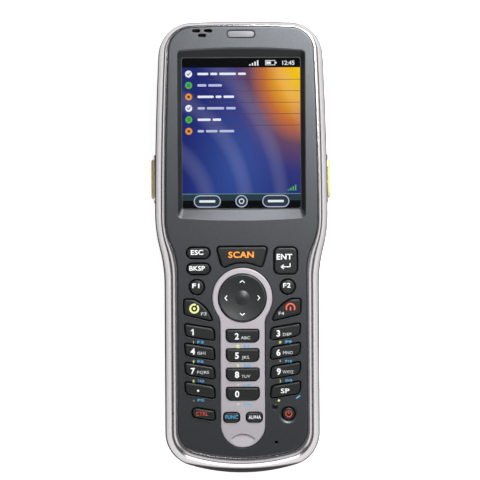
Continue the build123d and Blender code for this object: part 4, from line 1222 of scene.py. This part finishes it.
    def status_signs(self) -> None:
        """Makes the clock, the battery sign and the rising bars, and the green bars below."""
        signs, green, level = Former(), Former(), self.level(2)
        y, half = self.top - self.status_height / 2, 0.85 * MM
        signs.words("12:45", (self.side - 4.4 * MM, y), 1.75 * MM, level, 0.02)
        left, right = self.side - 13.2 * MM, self.side - 9.6 * MM
        corners = ((left, y - half), (right, y - half), (right, y + half), (left, y + half))
        for start, end in zip(corners, (*corners[1:], corners[0])):
            signs.bar(start, end, 0.22 * MM, level)
        signs.bar((left + 0.75 * MM, y), (left + 1.6 * MM, y), 0.95 * MM, level)
        signs.bar((right + 0.3 * MM, y), (right + 0.35 * MM, y), 0.6 * MM, level)
        base = self.bottom + self.tool_height + 1.6 * MM
        for step in range(4):
            x = self.side - (19.2 - step) * MM
            signs.bar((x, y - half), (x, y - half + step * 0.5 * MM), 0.55 * MM, level)
            x = self.side - (4.6 - step * 0.9) * MM
            green.bar((x, base), (x, base + step * 0.55 * MM), 0.5 * MM, level)
        self.show(status_signs=(signs, GLOW_WHITE), signal_bars=(green, GLOW_GREEN))

    def tool_buttons(self) -> None:
        """Makes the round button and the two long buttons in the tool bar."""
        rims, faces, signs = Former(), Former(), Former()
        y, rim = self.bottom + self.tool_height / 2, 0.35 * MM
        half = self.tool_height / 2 - rim
        for middle in (-self.side * 0.58, self.side * 0.58):
            for former, number, wide, tall, corner in (
                (rims, 3, 5.2 * MM, half, half * 0.98),
                (faces, 4, 5.2 * MM - rim, half - rim, (half - rim) * 0.98),
                (signs, 5, 3.1 * MM, self.strip_half, self.strip_round),
            ):
                box = (middle - wide, y - tall, middle + wide, y + tall)
                former.flat(box, self.level(number), corner)
        rims.disc((0, y), half, self.level(3), 32)
        faces.disc((0, y), half - rim, self.level(4), 32)
        signs.arc((0, y), 1.05 * MM, 0.7 * MM, self.level(5))
        self.show(
            button_rims=(rims, GLOW_LILAC), button_faces=(faces, GLOW_SLATE),
            button_signs=(signs, GLOW_WHITE),
        )


# ------------------------------------------------------------------ keypad
@dataclass(frozen=True)
class Legend:
    """One line printed on a key or beside it, with its sizes in millimetres."""

    part: str  # last part of the piece's name
    text: str
    place: Point  # of its middle from the middle of the key
    height: float  # of its capitals
    width: float  # or 0 for the width that the type has
    ink: Finish
    bold: float = 0.015

    def add_to(self, former: Former, middle: Vector, level: Level) -> None:
        """Adds the line to a print on or beside a key, from the key's middle."""
        centre = (middle.x + self.place[0] * MM, middle.y + self.place[1] * MM)
        former.words(self.text, centre, self.height * MM, level, self.bold, self.width * MM)


def word(
    text: str, place: Point, height: float, width: float, ink: Finish = WHITE_INK,
    bold: float = 0.015,
) -> tuple[Legend, ...]:
    """The one word of a key that has no other print."""
    return (Legend("word", text, place, height, width, ink, bold),)


KEY_LEGENDS: dict[str, tuple[Legend, ...]] = {
    "esc_key": word("ESC", (-0.45, 0.3), 2.0, 4.8, bold=0.025),
    "backspace_key": word("BKSP", (-0.55, 0.3), 1.9, 6.0, bold=0.02),
    "scan_key": word("SCAN", (-0.4, 0.85), 2.6, 9.85, ORANGE_INK, 0.035),
    "enter_key": word("ENT", (-0.5, 1.55), 2.35, 6.0, bold=0.03),
    "f1_key": word("F1", (-0.4, 0.6), 1.9, 2.8, bold=0.025),
    "f2_key": word("F2", (-0.3, 0.6), 1.9, 2.9, bold=0.025),
    "send_key": (Legend("name", "F3", (2.2, -1.4), 1.3, 2.1, SOFT_WHITE_INK),),
    "end_key": (Legend("name", "F4", (-2.1, -1.4), 1.3, 2.1, SOFT_WHITE_INK),),
    "space_key": word("SP", (-0.2, -0.4), 1.9, 3.3),
    "ctrl_key": word("CTRL", (-0.65, 0.17), 1.6, 4.7, DEEP_RED_INK),
    "func_key": word("FUNC", (0.05, 0.2), 1.5, 4.9, BLUE_INK),
    "alpha_key": word("ALPHA", (0.15, 0.05), 1.45, 4.7),
    "dot_key": (),
    "power_key": (),
}
for digit, place, letters, beside, width in (
    ("1", (-2.55, 0.1), "", (), 0),
    ("2", (-2.2, -0.1), "ABC", (1.1, -0.7), 3.6), ("3", (-2.7, -0.6), "DEF", (0.7, -1.0), 3.3),
    ("4", (-2.7, 0.1), "GHI", (0.6, -0.6), 3.2), ("5", (-2.2, -0.1), "JKL", (1.2, -0.8), 3.2),
    ("6", (-2.7, -0.5), "MNO", (0.95, -0.6), 3.8), ("7", (-2.7, 0.0), "PQRS", (1.2, -0.5), 4.6),
    ("8", (-2.2, 0.0), "TUV", (1.2, -0.7), 3.4), ("9", (-2.6, -0.4), "WXYZ", (0.95, -0.6), 4.2),
    ("0", (-2.2, 0.0), "", (), 0),
):
    KEY_LEGENDS[f"key_{digit}"] = (
        Legend("digit", digit, place, 2.65, 0.0, WHITE_INK, 0.035),
        *([Legend("letters", letters, beside, 1.2, width, SOFT_WHITE_INK)] if letters else []),
    )

SECOND_MARKS: dict[str, tuple[Legend, Legend]] = {
    key: (
        Legend("", first, (yellow, drop), 1.15, 0.0, YELLOW_INK, 0.05),
        Legend("", second, (blue, drop), 1.15, 2.6, BLUE_INK, 0.05),
    )
    for key, first, second, yellow, blue, drop in (
        ("key_1", "!", "F5", -2.4, 0.3, -3.8), ("key_4", "$", "F6", -2.4, 0.3, -3.85),
        ("key_7", "&", "TAB", -2.4, 0.3, -3.9), ("dot_key", "-", "PG", -2.4, 0.3, -3.85),
        ("key_2", "@", "F7", -1.8, 1.8, -3.97), ("key_5", "%", "F8", -1.8, 1.8, -3.97),
        ("key_8", "+", "UP", -1.8, 1.8, -3.97), ("key_0", "=", "DN", -1.8, 1.8, -3.97),
        ("key_3", "#", "F9", -2.0, 1.25, -3.95), ("key_6", "^", "F10", -2.0, 1.25, -3.95),
        ("key_9", ")", "INS", -2.0, 1.25, -3.95),
    )
}


@dataclass(frozen=True)
class Sign:
    """One printed sign, made of arcs, bars and a dot, with its sizes in millimetres."""

    part: str  # last part of the piece's name
    ink: Finish
    origin: Point  # from the middle of the key
    arcs: tuple[tuple[float, ...], ...] = ()  # outer and inner radius, start and sweep in degrees
    bars: tuple[tuple[float, ...], ...] = ()  # X and Y of both ends, and the width
    dot: float = 0.0  # radius

    def add_to(self, former: Former, middle: Vector, level: Level) -> None:
        """Adds the sign to a print.

        Args:
            former: The print.
            middle: Middle of the key.
            level: Z of the print's underside and of its face.
        """
        x, y = middle.x + self.origin[0] * MM, middle.y + self.origin[1] * MM
        for outer, inner, start, sweep in self.arcs:
            former.arc((x, y), outer * MM, inner * MM, level, start, sweep)
        for x0, y0, x1, y1, width in self.bars:
            ends = (x + x0 * MM, y + y0 * MM), (x + x1 * MM, y + y1 * MM)
            former.bar(*ends, width * MM, level)
        if self.dot:
            former.disc((x, y), self.dot * MM, (-level[1], level[1]))


KEY_SIGNS: dict[str, Sign] = {
    "dot_key": Sign("point", WHITE_INK, (-0.7, -0.2), dot=0.42),
    "send_key": Sign("sign", YELLOW_INK, (-1.4, 0.55), arcs=((1.9, 1.2, 68.0, 340.0),), dot=0.5),
    "end_key": Sign(
        "sign", RED_INK, (1.4, 0.65), ((1.9, 1.3, -30.0, 240.0),), ((0, -0.75, 0, 0.1, 0.56),)
    ),
    "enter_key": Sign("arrow", WHITE_INK, (-1.75, -2.35), bars=(
        (0.4, 0, 3.4, 0, 0.34), (3.4, 0, 3.4, 1.2, 0.34),
        (0, 0, 0.85, -0.7, 0.34), (0, 0, 0.85, 0.7, 0.34),
    )),
    "power_key": Sign(
        "sign", DEEP_RED_INK, (0.1, 0.0), ((1.35, 0.95, 120.0, 300.0),), ((0, 0.2, 0, 1.15, 0.4),)
    ),
}
FLAG = Sign("", WHITE_INK, (0, 0), bars=((0.15, -0.22, -0.45, -0.72, 0.34),))  # of the digit one
SPACE_MARKS: tuple[Sign, Sign] = (
    Sign("", YELLOW_INK, (-2.6, -4.2), dot=0.45),
    Sign("", BLUE_INK, (4.3, -3.3), bars=((0, 0, 1.0, 0.8, 0.5),)),
)


@dataclass
class Keypad:
    """Inlay, keys with their printed legends, mat and board."""

    level: Level = (-0.03 * MM, 0.015 * MM)  # how far a print lies in and out of a surface
    cut: float = 0.5 * MM  # pitch of the cuts that let a print follow a key's curved face

    def build(self) -> None:
        """Dresses the keypad's nodes and prints the legends."""
        dress(LILAC_LACQUER, "keypad_inlay")
        dress(SILICONE, "keypad_mat")
        dress(BOARD_GREEN, "keypad_board")
        dress(KEY_PAINT, *KEY_LEGENDS)
        for key, legends in KEY_LEGENDS.items():
            for legend in legends:
                self.print_on(key, legend)
        for key, sign in KEY_SIGNS.items():
            self.print_on(key, sign)
        self.second_marks()

    def print_on(self, key: str, mark: Legend | Sign) -> None:
        """Prints a legend or a sign on a key, as a piece that moves with the key.

        Args:
            key: CAD node of the key.
            mark: The legend or sign.
        """
        former = Former()
        mark.add_to(former, centre_of(key), self.level)
        if key == "key_1":
            places = [v.co for v in former.mesh.verts]
            corner = Vector((min(p.x for p in places), max(p.y for p in places), 0.0))
            FLAG.add_to(former, corner, self.level)
        former.slice(self.cut)
        former.settle(key)
        body = frame["nodes"][key]["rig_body"]
        former.piece(f"{key}_{mark.part}", mark.ink, Slot.KEY_PLASTIC, body)

    def second_marks(self) -> None:
        """Prints the small yellow and blue marks under the number keys and the space key."""
        prints: dict[tuple[str, Finish], Former] = {
            (host, ink): Former()
            for host in ("front_bezel", "keypad_inlay") for ink in (YELLOW_INK, BLUE_INK)
        }
        for key, marks in (*SECOND_MARKS.items(), ("space_key", SPACE_MARKS)):
            middle = centre_of(key)
            host = "keypad_inlay" if abs(middle.x) < MM else "front_bezel"
            for mark in marks:
                mark.add_to(prints[host, mark.ink], middle, self.level)
        slots = {"front_bezel": Slot.BEZEL_PAINT, "keypad_inlay": Slot.INLAY_PAINT}
        for (host, ink), former in prints.items():
            former.settle(host)
            former.piece(f"{host}_{ink.name}", ink, slots[host])


@dataclass
class NavigationPad:
    """Rocking pad with its four printed arrows, and the ball that it rocks on."""

    reach: float = 6.3 * MM
    wing: float = 0.8 * MM
    rise: float = 0.65 * MM
    stroke: float = 0.34 * MM
    level: Level = (-0.03 * MM, 0.02 * MM)

    def build(self) -> None:
        """Dresses the pad and prints its arrows."""
        dress(NAV_SATIN, "nav_pad")
        dress(STEEL, "nav_ball")
        former = Former()
        for quarter in range(4):
            turn = quarter * math.pi / 2
            out = Vector((math.cos(turn), math.sin(turn)))
            across = Vector((-out.y, out.x))
            tip = centre_of("nav_pad").xy + out * (self.reach + self.rise / 2)
            for wing in (-self.wing, self.wing):
                former.bar(tip, tip - out * self.rise + across * wing, self.stroke, self.level)
        former.settle("nav_pad")
        former.piece("nav_arrows", WHITE_INK, Slot.KEY_PLASTIC, "nav_pad")


# ------------------------------------------------------------------ front details and ends
@dataclass
class FrontDetails:
    """Status light, charge light, speaker and microphone."""

    flange: float = 0.33 * MM  # from the pipe's hidden flange to its opening in the bezel
    pipe_gap: float = 0.4 * MM  # from that opening to the pipe's face, filled by the seal
    seal_drop: float = 0.3 * MM  # how far the seal lies under the face
    pipe_round: float = 0.22 * MM
    lens_round: float = 0.3 * MM
    end_steps: int = 10  # faces round a quarter of the light's ends

    def build(self) -> None:
        """Dresses the small pieces of the front and makes the two lenses."""
        dress(GRILLE_BLACK, "speaker", "microphone")
        low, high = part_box("status_light_pipe")
        rim = Vector((self.flange, self.flange, 0.0))
        inset = rim + Vector((self.pipe_gap, self.pipe_gap, 0.0))
        former = Former()
        corner = (high.y - low.y) / 2 - inset.y
        former.block(low + inset, high - inset, corner * 0.98, self.end_steps)
        former.soften(high.z, self.pipe_round)
        self.lens(former, "status_light_pipe", LIGHT_PIPE, Slot.LIGHT_PIPE)
        self.seal(low + rim, high - rim - Vector((0.0, 0.0, self.seal_drop)))
        low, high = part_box("charge_light")
        former = Former()
        former.disc(centre_of("charge_light").xy, (high.x - low.x) / 2, (low.z, high.z), 32)
        former.soften(high.z, self.lens_round)
        self.lens(former, "charge_light", CHARGE_LENS, Slot.DARK_LENS)

    def lens(self, former: Former, node: str, finish: Finish, slot: Slot) -> None:
        """Ends the lens of a light, in place of its CAD node."""
        made = former.piece(f"{node.split('_')[0]}_lens", finish, slot, smooth=True)
        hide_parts(node)

    def seal(self, low: Vector, high: Vector) -> None:
        """Makes the dark seal in the gap round the status light.

        Args:
            low: Lowest corner of its box.
            high: Highest corner.
        """
        former = Former()
        former.block(low, high, (high.y - low.y) / 2 * 0.98, self.end_steps)
        mesh = former.mesh
        mesh.normal_update()
        ends = [f for f in mesh.faces if abs(f.normal.z) > 0.9]
        bmesh.ops.inset_region(mesh, faces=ends, thickness=self.pipe_gap, use_even_offset=True)
        rims = list({e for f in ends for e in f.edges})
        bmesh.ops.delete(mesh, geom=ends, context="FACES_ONLY")
        bmesh.ops.bridge_loops(mesh, edges=rims)
        former.piece("status_seal", GRILLE_BLACK, Slot.BLACK_PLASTIC)


@dataclass
class ScanEnd:
    """Scan engine with its two lenses, behind the tinted window."""

    lens_radius: float = 3.2 * MM
    lens_bulge: float = 0.7 * MM
    lens_depth: float = 1.6 * MM  # how far the lens stands back from the engine's face
    lens_steps: int = 6  # from its rim to its middle

    def build(self) -> None:
        """Dresses the engine and window and makes the lenses."""
        dress(BLACK_PLASTIC, "scan_engine")
        dress(SCAN_PANE, "scan_window")
        low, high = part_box("scan_engine")
        middle, quarter = (low + high) / 2, (high.x - low.x) / 4
        former = Former()
        for x in (middle.x - quarter, middle.x + quarter):
            self.lens(former.mesh, Vector((x, high.y - self.lens_depth, middle.z)))
        former.piece("engine_lenses", LENS_GLASS, Slot.DARK_LENS, smooth=True)

    def lens(self, mesh: bmesh.types.BMesh, centre: Vector) -> None:
        """Makes one lens by turning its profile about its axis.

        Args:
            mesh: Mesh that takes the lens.
            centre: Middle of its front rim.
        """
        profile = [(0.0, -1.0), (1.0, -1.0)]  # shares of the radius and of the bulge
        for step in range(self.lens_steps + 1):
            share = 1 - step / self.lens_steps
            profile.append((share, 1 - share**2))
        verts = [
            mesh.verts.new(centre + Vector((out * self.lens_radius, up * self.lens_bulge, 0)))
            for out, up in profile
        ]
        edges = [mesh.edges.new(pair) for pair in zip(verts, verts[1:])]
        bmesh.ops.spin(
            mesh, geom=verts + edges, cent=centre, axis=(0, 1, 0), angle=math.tau, steps=32,
            use_merge=True,
        )


@dataclass
class DockEnd:
    """Dock connector with its gilt contacts."""

    contacts: int = 12
    pitch: float = 1.9 * MM
    width: float = 0.7 * MM
    reach: Point = (0.06 * MM, 0.35 * MM)  # of a contact, back from the connector's face
    rise: Level = (1.3 * MM, 4.3 * MM)  # of a contact, from the connector's underside
    corner: float = 0.15 * MM

    def build(self) -> None:
        """Dresses the connector and makes its contacts."""
        dress(BLACK_PLASTIC, "dock_connector")
        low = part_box("dock_connector")[0]
        front, back = (low.y + reach for reach in self.reach)
        level = (low.z + self.rise[0], low.z + self.rise[1])
        former = Former()
        for number in range(self.contacts):
            left = (number - (self.contacts - 1) / 2) * self.pitch - self.width / 2
            former.flat((left, front, left + self.width, back), level, self.corner)
        former.piece("dock_contacts", GOLD, Slot.GOLD)


@dataclass
class Battery:
    """Battery with its contacts, its door and the latch with its thumb ridges."""

    ridge_count: int = 4
    ridge_pitch: float = 0.8 * MM
    ridge_width: float = 0.36 * MM
    ridge_half: float = 2.7 * MM  # half length of a ridge
    ridge_height: float = 0.22 * MM
    ridge_root: float = 0.05 * MM  # how far a ridge reaches into the latch
    ridge_start: float = 1.85 * MM  # from the latch's end to the first ridge, on its thumb pad

    def build(self) -> None:
        """Dresses the battery's pieces and makes the ridges of the latch."""
        dress(BATTERY_CASE, "battery_pack")
        dress(GOLD, "battery_contacts")
        dress(BATTERY_LID, "battery_door")
        dress(BLACK_PLASTIC, "battery_latch")
        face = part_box("battery_latch")[0]
        tops, half = face.z - self.ridge_height, self.ridge_width / 2
        former = Former()
        for number in range(self.ridge_count):
            y = face.y + self.ridge_start + number * self.ridge_pitch
            box = (-self.ridge_half, y - half, self.ridge_half, y + half)
            former.flat(box, (tops, face.z + self.ridge_root))
        former.soften(tops, self.ridge_width / 3, 3)
        former.piece(
            "latch_ridges", BLACK_PLASTIC, Slot.BLACK_PLASTIC, "battery_latch", smooth=True
        )


@dataclass
class Fittings:
    """Pieces that CAD gives their whole shape: on the two sides, inside, and the stylus."""

    def build(self) -> None:
        """Dresses the pieces."""
        dress(AMBER_RUBBER, "left_trigger", "right_trigger")
        dress(BLACK_RUBBER, "jack_cover", "card_door")
        dress(BLACK_PLASTIC, "trigger_switches", "audio_jack")
        dress(STEEL, "card_socket")
        dress(BOARD_GREEN, "main_board")
        dress(STYLUS_BLACK, "stylus")


# ------------------------------------------------------------------ studio
@dataclass(frozen=True)
class Lamp:
    """Soft lamp that faces the middle of the terminal and stays out of the picture."""

    name: str
    place: tuple[float, float, float]
    size: Point
    power: float  # in watts

    def build(self) -> None:
        """Makes the lamp."""
        light = bpy.data.lights.new(self.name, "AREA")
        light.shape = "RECTANGLE"
        light.size, light.size_y = self.size
        light.energy = self.power
        lamp = bpy.data.objects.new(self.name, light)
        bpy.context.scene.collection.objects.link(lamp)
        lamp.location = self.place
        lamp.rotation_mode = "QUATERNION"
        lamp.rotation_quaternion = (-Vector(self.place)).to_track_quat("-Z", "Y")
        lamp.visible_camera = False


@dataclass
class Studio:
    """Pale floor, soft lamps and the camera above the keypad side."""

    frame_width: float = 183.9 * MM  # how much of the face plane the picture takes in
    aim: tuple[float, float, float] = (-0.75 * MM, 2.7 * MM, 28.0 * MM)
    lens: float = 250.0
    sensor: float = 36.0
    roll: float = -0.32  # in degrees
    lean: float = 1.0  # how far the camera stands off to the left, in degrees
    dome: float = 0.05
    dome_tint: Colour = (0.93, 0.96, 1.0)
    paper: tuple[Colour, Colour] = ((0.80, 0.80, 0.80), (0.83, 0.83, 0.83))
    paper_glow: float = 0.84
    floor_half: float = 3.0
    contact_reach: float = 110 * MM  # how far round the terminal the floor's glow, as its shine shows it, carries a painted contact shadow
    contact_glow: float = 0.1
    lamps: tuple[Lamp, ...] = (
        Lamp("end_lamp", (0.08, 0.135, 0.30), (0.14, 0.10), 0.62),
        Lamp("low_end_lamp", (0.08, 0.19, 0.17), (0.16, 0.10), 0.85),
        Lamp("left_strip", (-0.31, -0.01, 0.37), (0.6, 0.18), 0.3),
        Lamp("right_strip", (0.31, -0.01, 0.37), (0.6, 0.18), 0.3),
        Lamp("foot_strip", (0.0, -0.40, 0.12), (0.4, 0.14), 0.5),
        Lamp("foot_top_strip", (0.0, -0.33, 0.36), (0.4, 0.14), 0.14),
    )

    def build(self) -> None:
        """Makes the floor, world, lamps and camera."""
        self.floor()
        self.world()
        for lamp in self.lamps:
            lamp.build()
        self.camera()

    def floor(self) -> None:
        """Makes the floor, which shows white and keeps the shadow, with a painted contact shadow in
        what shines.
        """
        half = self.floor_half
        former = Former()
        former.flat((-half, -half, half, half), (-0.02, -0.05 * MM))
        graph = Graph(bpy.data.materials.new("floor_paper"))
        paper = graph.node("BsdfDiffuse", {"Color": graph.mix(graph.noise(0.4, 3.0), *self.paper)})
        glow = graph.node("Emission", {"Strength": self.paper_glow})
        shown = graph.node("AddShader", {0: paper.outputs[0], 1: glow.outputs[0]})
        # Painted contact shadow: in what shines, the floor's glow fades near the terminal by
        # ambient occlusion.
        shade = graph.node("AmbientOcclusion", {"Distance": self.contact_reach}, samples=8)
        strength = graph.span(shade.outputs["AO"], self.contact_glow, 1.0, 0.6, 0.99)
        shine = graph.node("Emission", {"Strength": strength})
        camera, bounced = self.rays(graph)
        seen = graph.blend(camera, shine, shown)
        graph.end_with(graph.blend(graph.sum_up("MAXIMUM", camera, bounced), paper, seen))
        former.end("floor", graph.holder)

    def world(self) -> None:
        """Makes the world: white behind the terminal and in what shines, a dim dome elsewhere."""
        bpy.context.scene.world = bpy.data.worlds.new("studio")
        graph = Graph(bpy.context.scene.world)
        white = graph.node("Background", {"Color": (1.0, 1.0, 1.0)})
        dome = graph.node("Background", {"Color": self.dome_tint, "Strength": self.dome})
        rise = graph.along("Z", graph.coordinates.outputs["Generated"])
        camera, bounced = self.rays(graph)
        mirrored = graph.sum_up("MULTIPLY", bounced, graph.span(rise, 1.0, 0.0, 0.02, 0.1))
        graph.end_with(graph.blend(graph.sum_up("MAXIMUM", camera, mirrored), dome, white))

    def rays(self, graph: Graph) -> tuple[Socket, Socket]:
        """Tells the rays of the camera and of what shines from those that only light.

        Args:
            graph: Node tree that asks.

        Returns:
            A value that is 1 for camera rays and one that is 1 off a shiny surface or in glass.
        """
        path = graph.node("LightPath").outputs
        bounced = graph.sum_up("MAXIMUM", path["Is Glossy Ray"], path["Is Transmission Ray"])
        return path["Is Camera Ray"], bounced

    def camera(self) -> None:
        """Makes the camera, which looks down on the front."""
        data = bpy.data.cameras.new("camera")
        data.lens, data.sensor_width = self.lens, self.sensor
        camera = bpy.data.objects.new("camera", data)
        bpy.context.scene.collection.objects.link(camera)
        distance = self.frame_width * self.lens / self.sensor
        roll = Matrix.Rotation(math.radians(self.roll), 4, "Z")
        turn = roll @ Matrix.Rotation(math.radians(-self.lean), 4, "Y")
        camera.location = Vector(self.aim) + turn @ Vector((0.0, 0.0, distance))
        camera.rotation_euler = turn.to_euler()
        bpy.context.scene.camera = camera


def main() -> None:
    """Builds the sub-assemblies in order."""
    logging.basicConfig(level=logging.INFO, format="%(name)s %(message)s")
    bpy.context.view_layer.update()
    bpy.context.scene.view_settings.view_transform = "Standard"
    for part in (
        Studio(), Shells(), Display(), Keypad(), NavigationPad(), FrontDetails(), ScanEnd(),
        DockEnd(), Battery(), Fittings(),
    ):
        part.build()
        log.info("built %s", type(part).__name__)


if __name__ == "__main__":
    main()
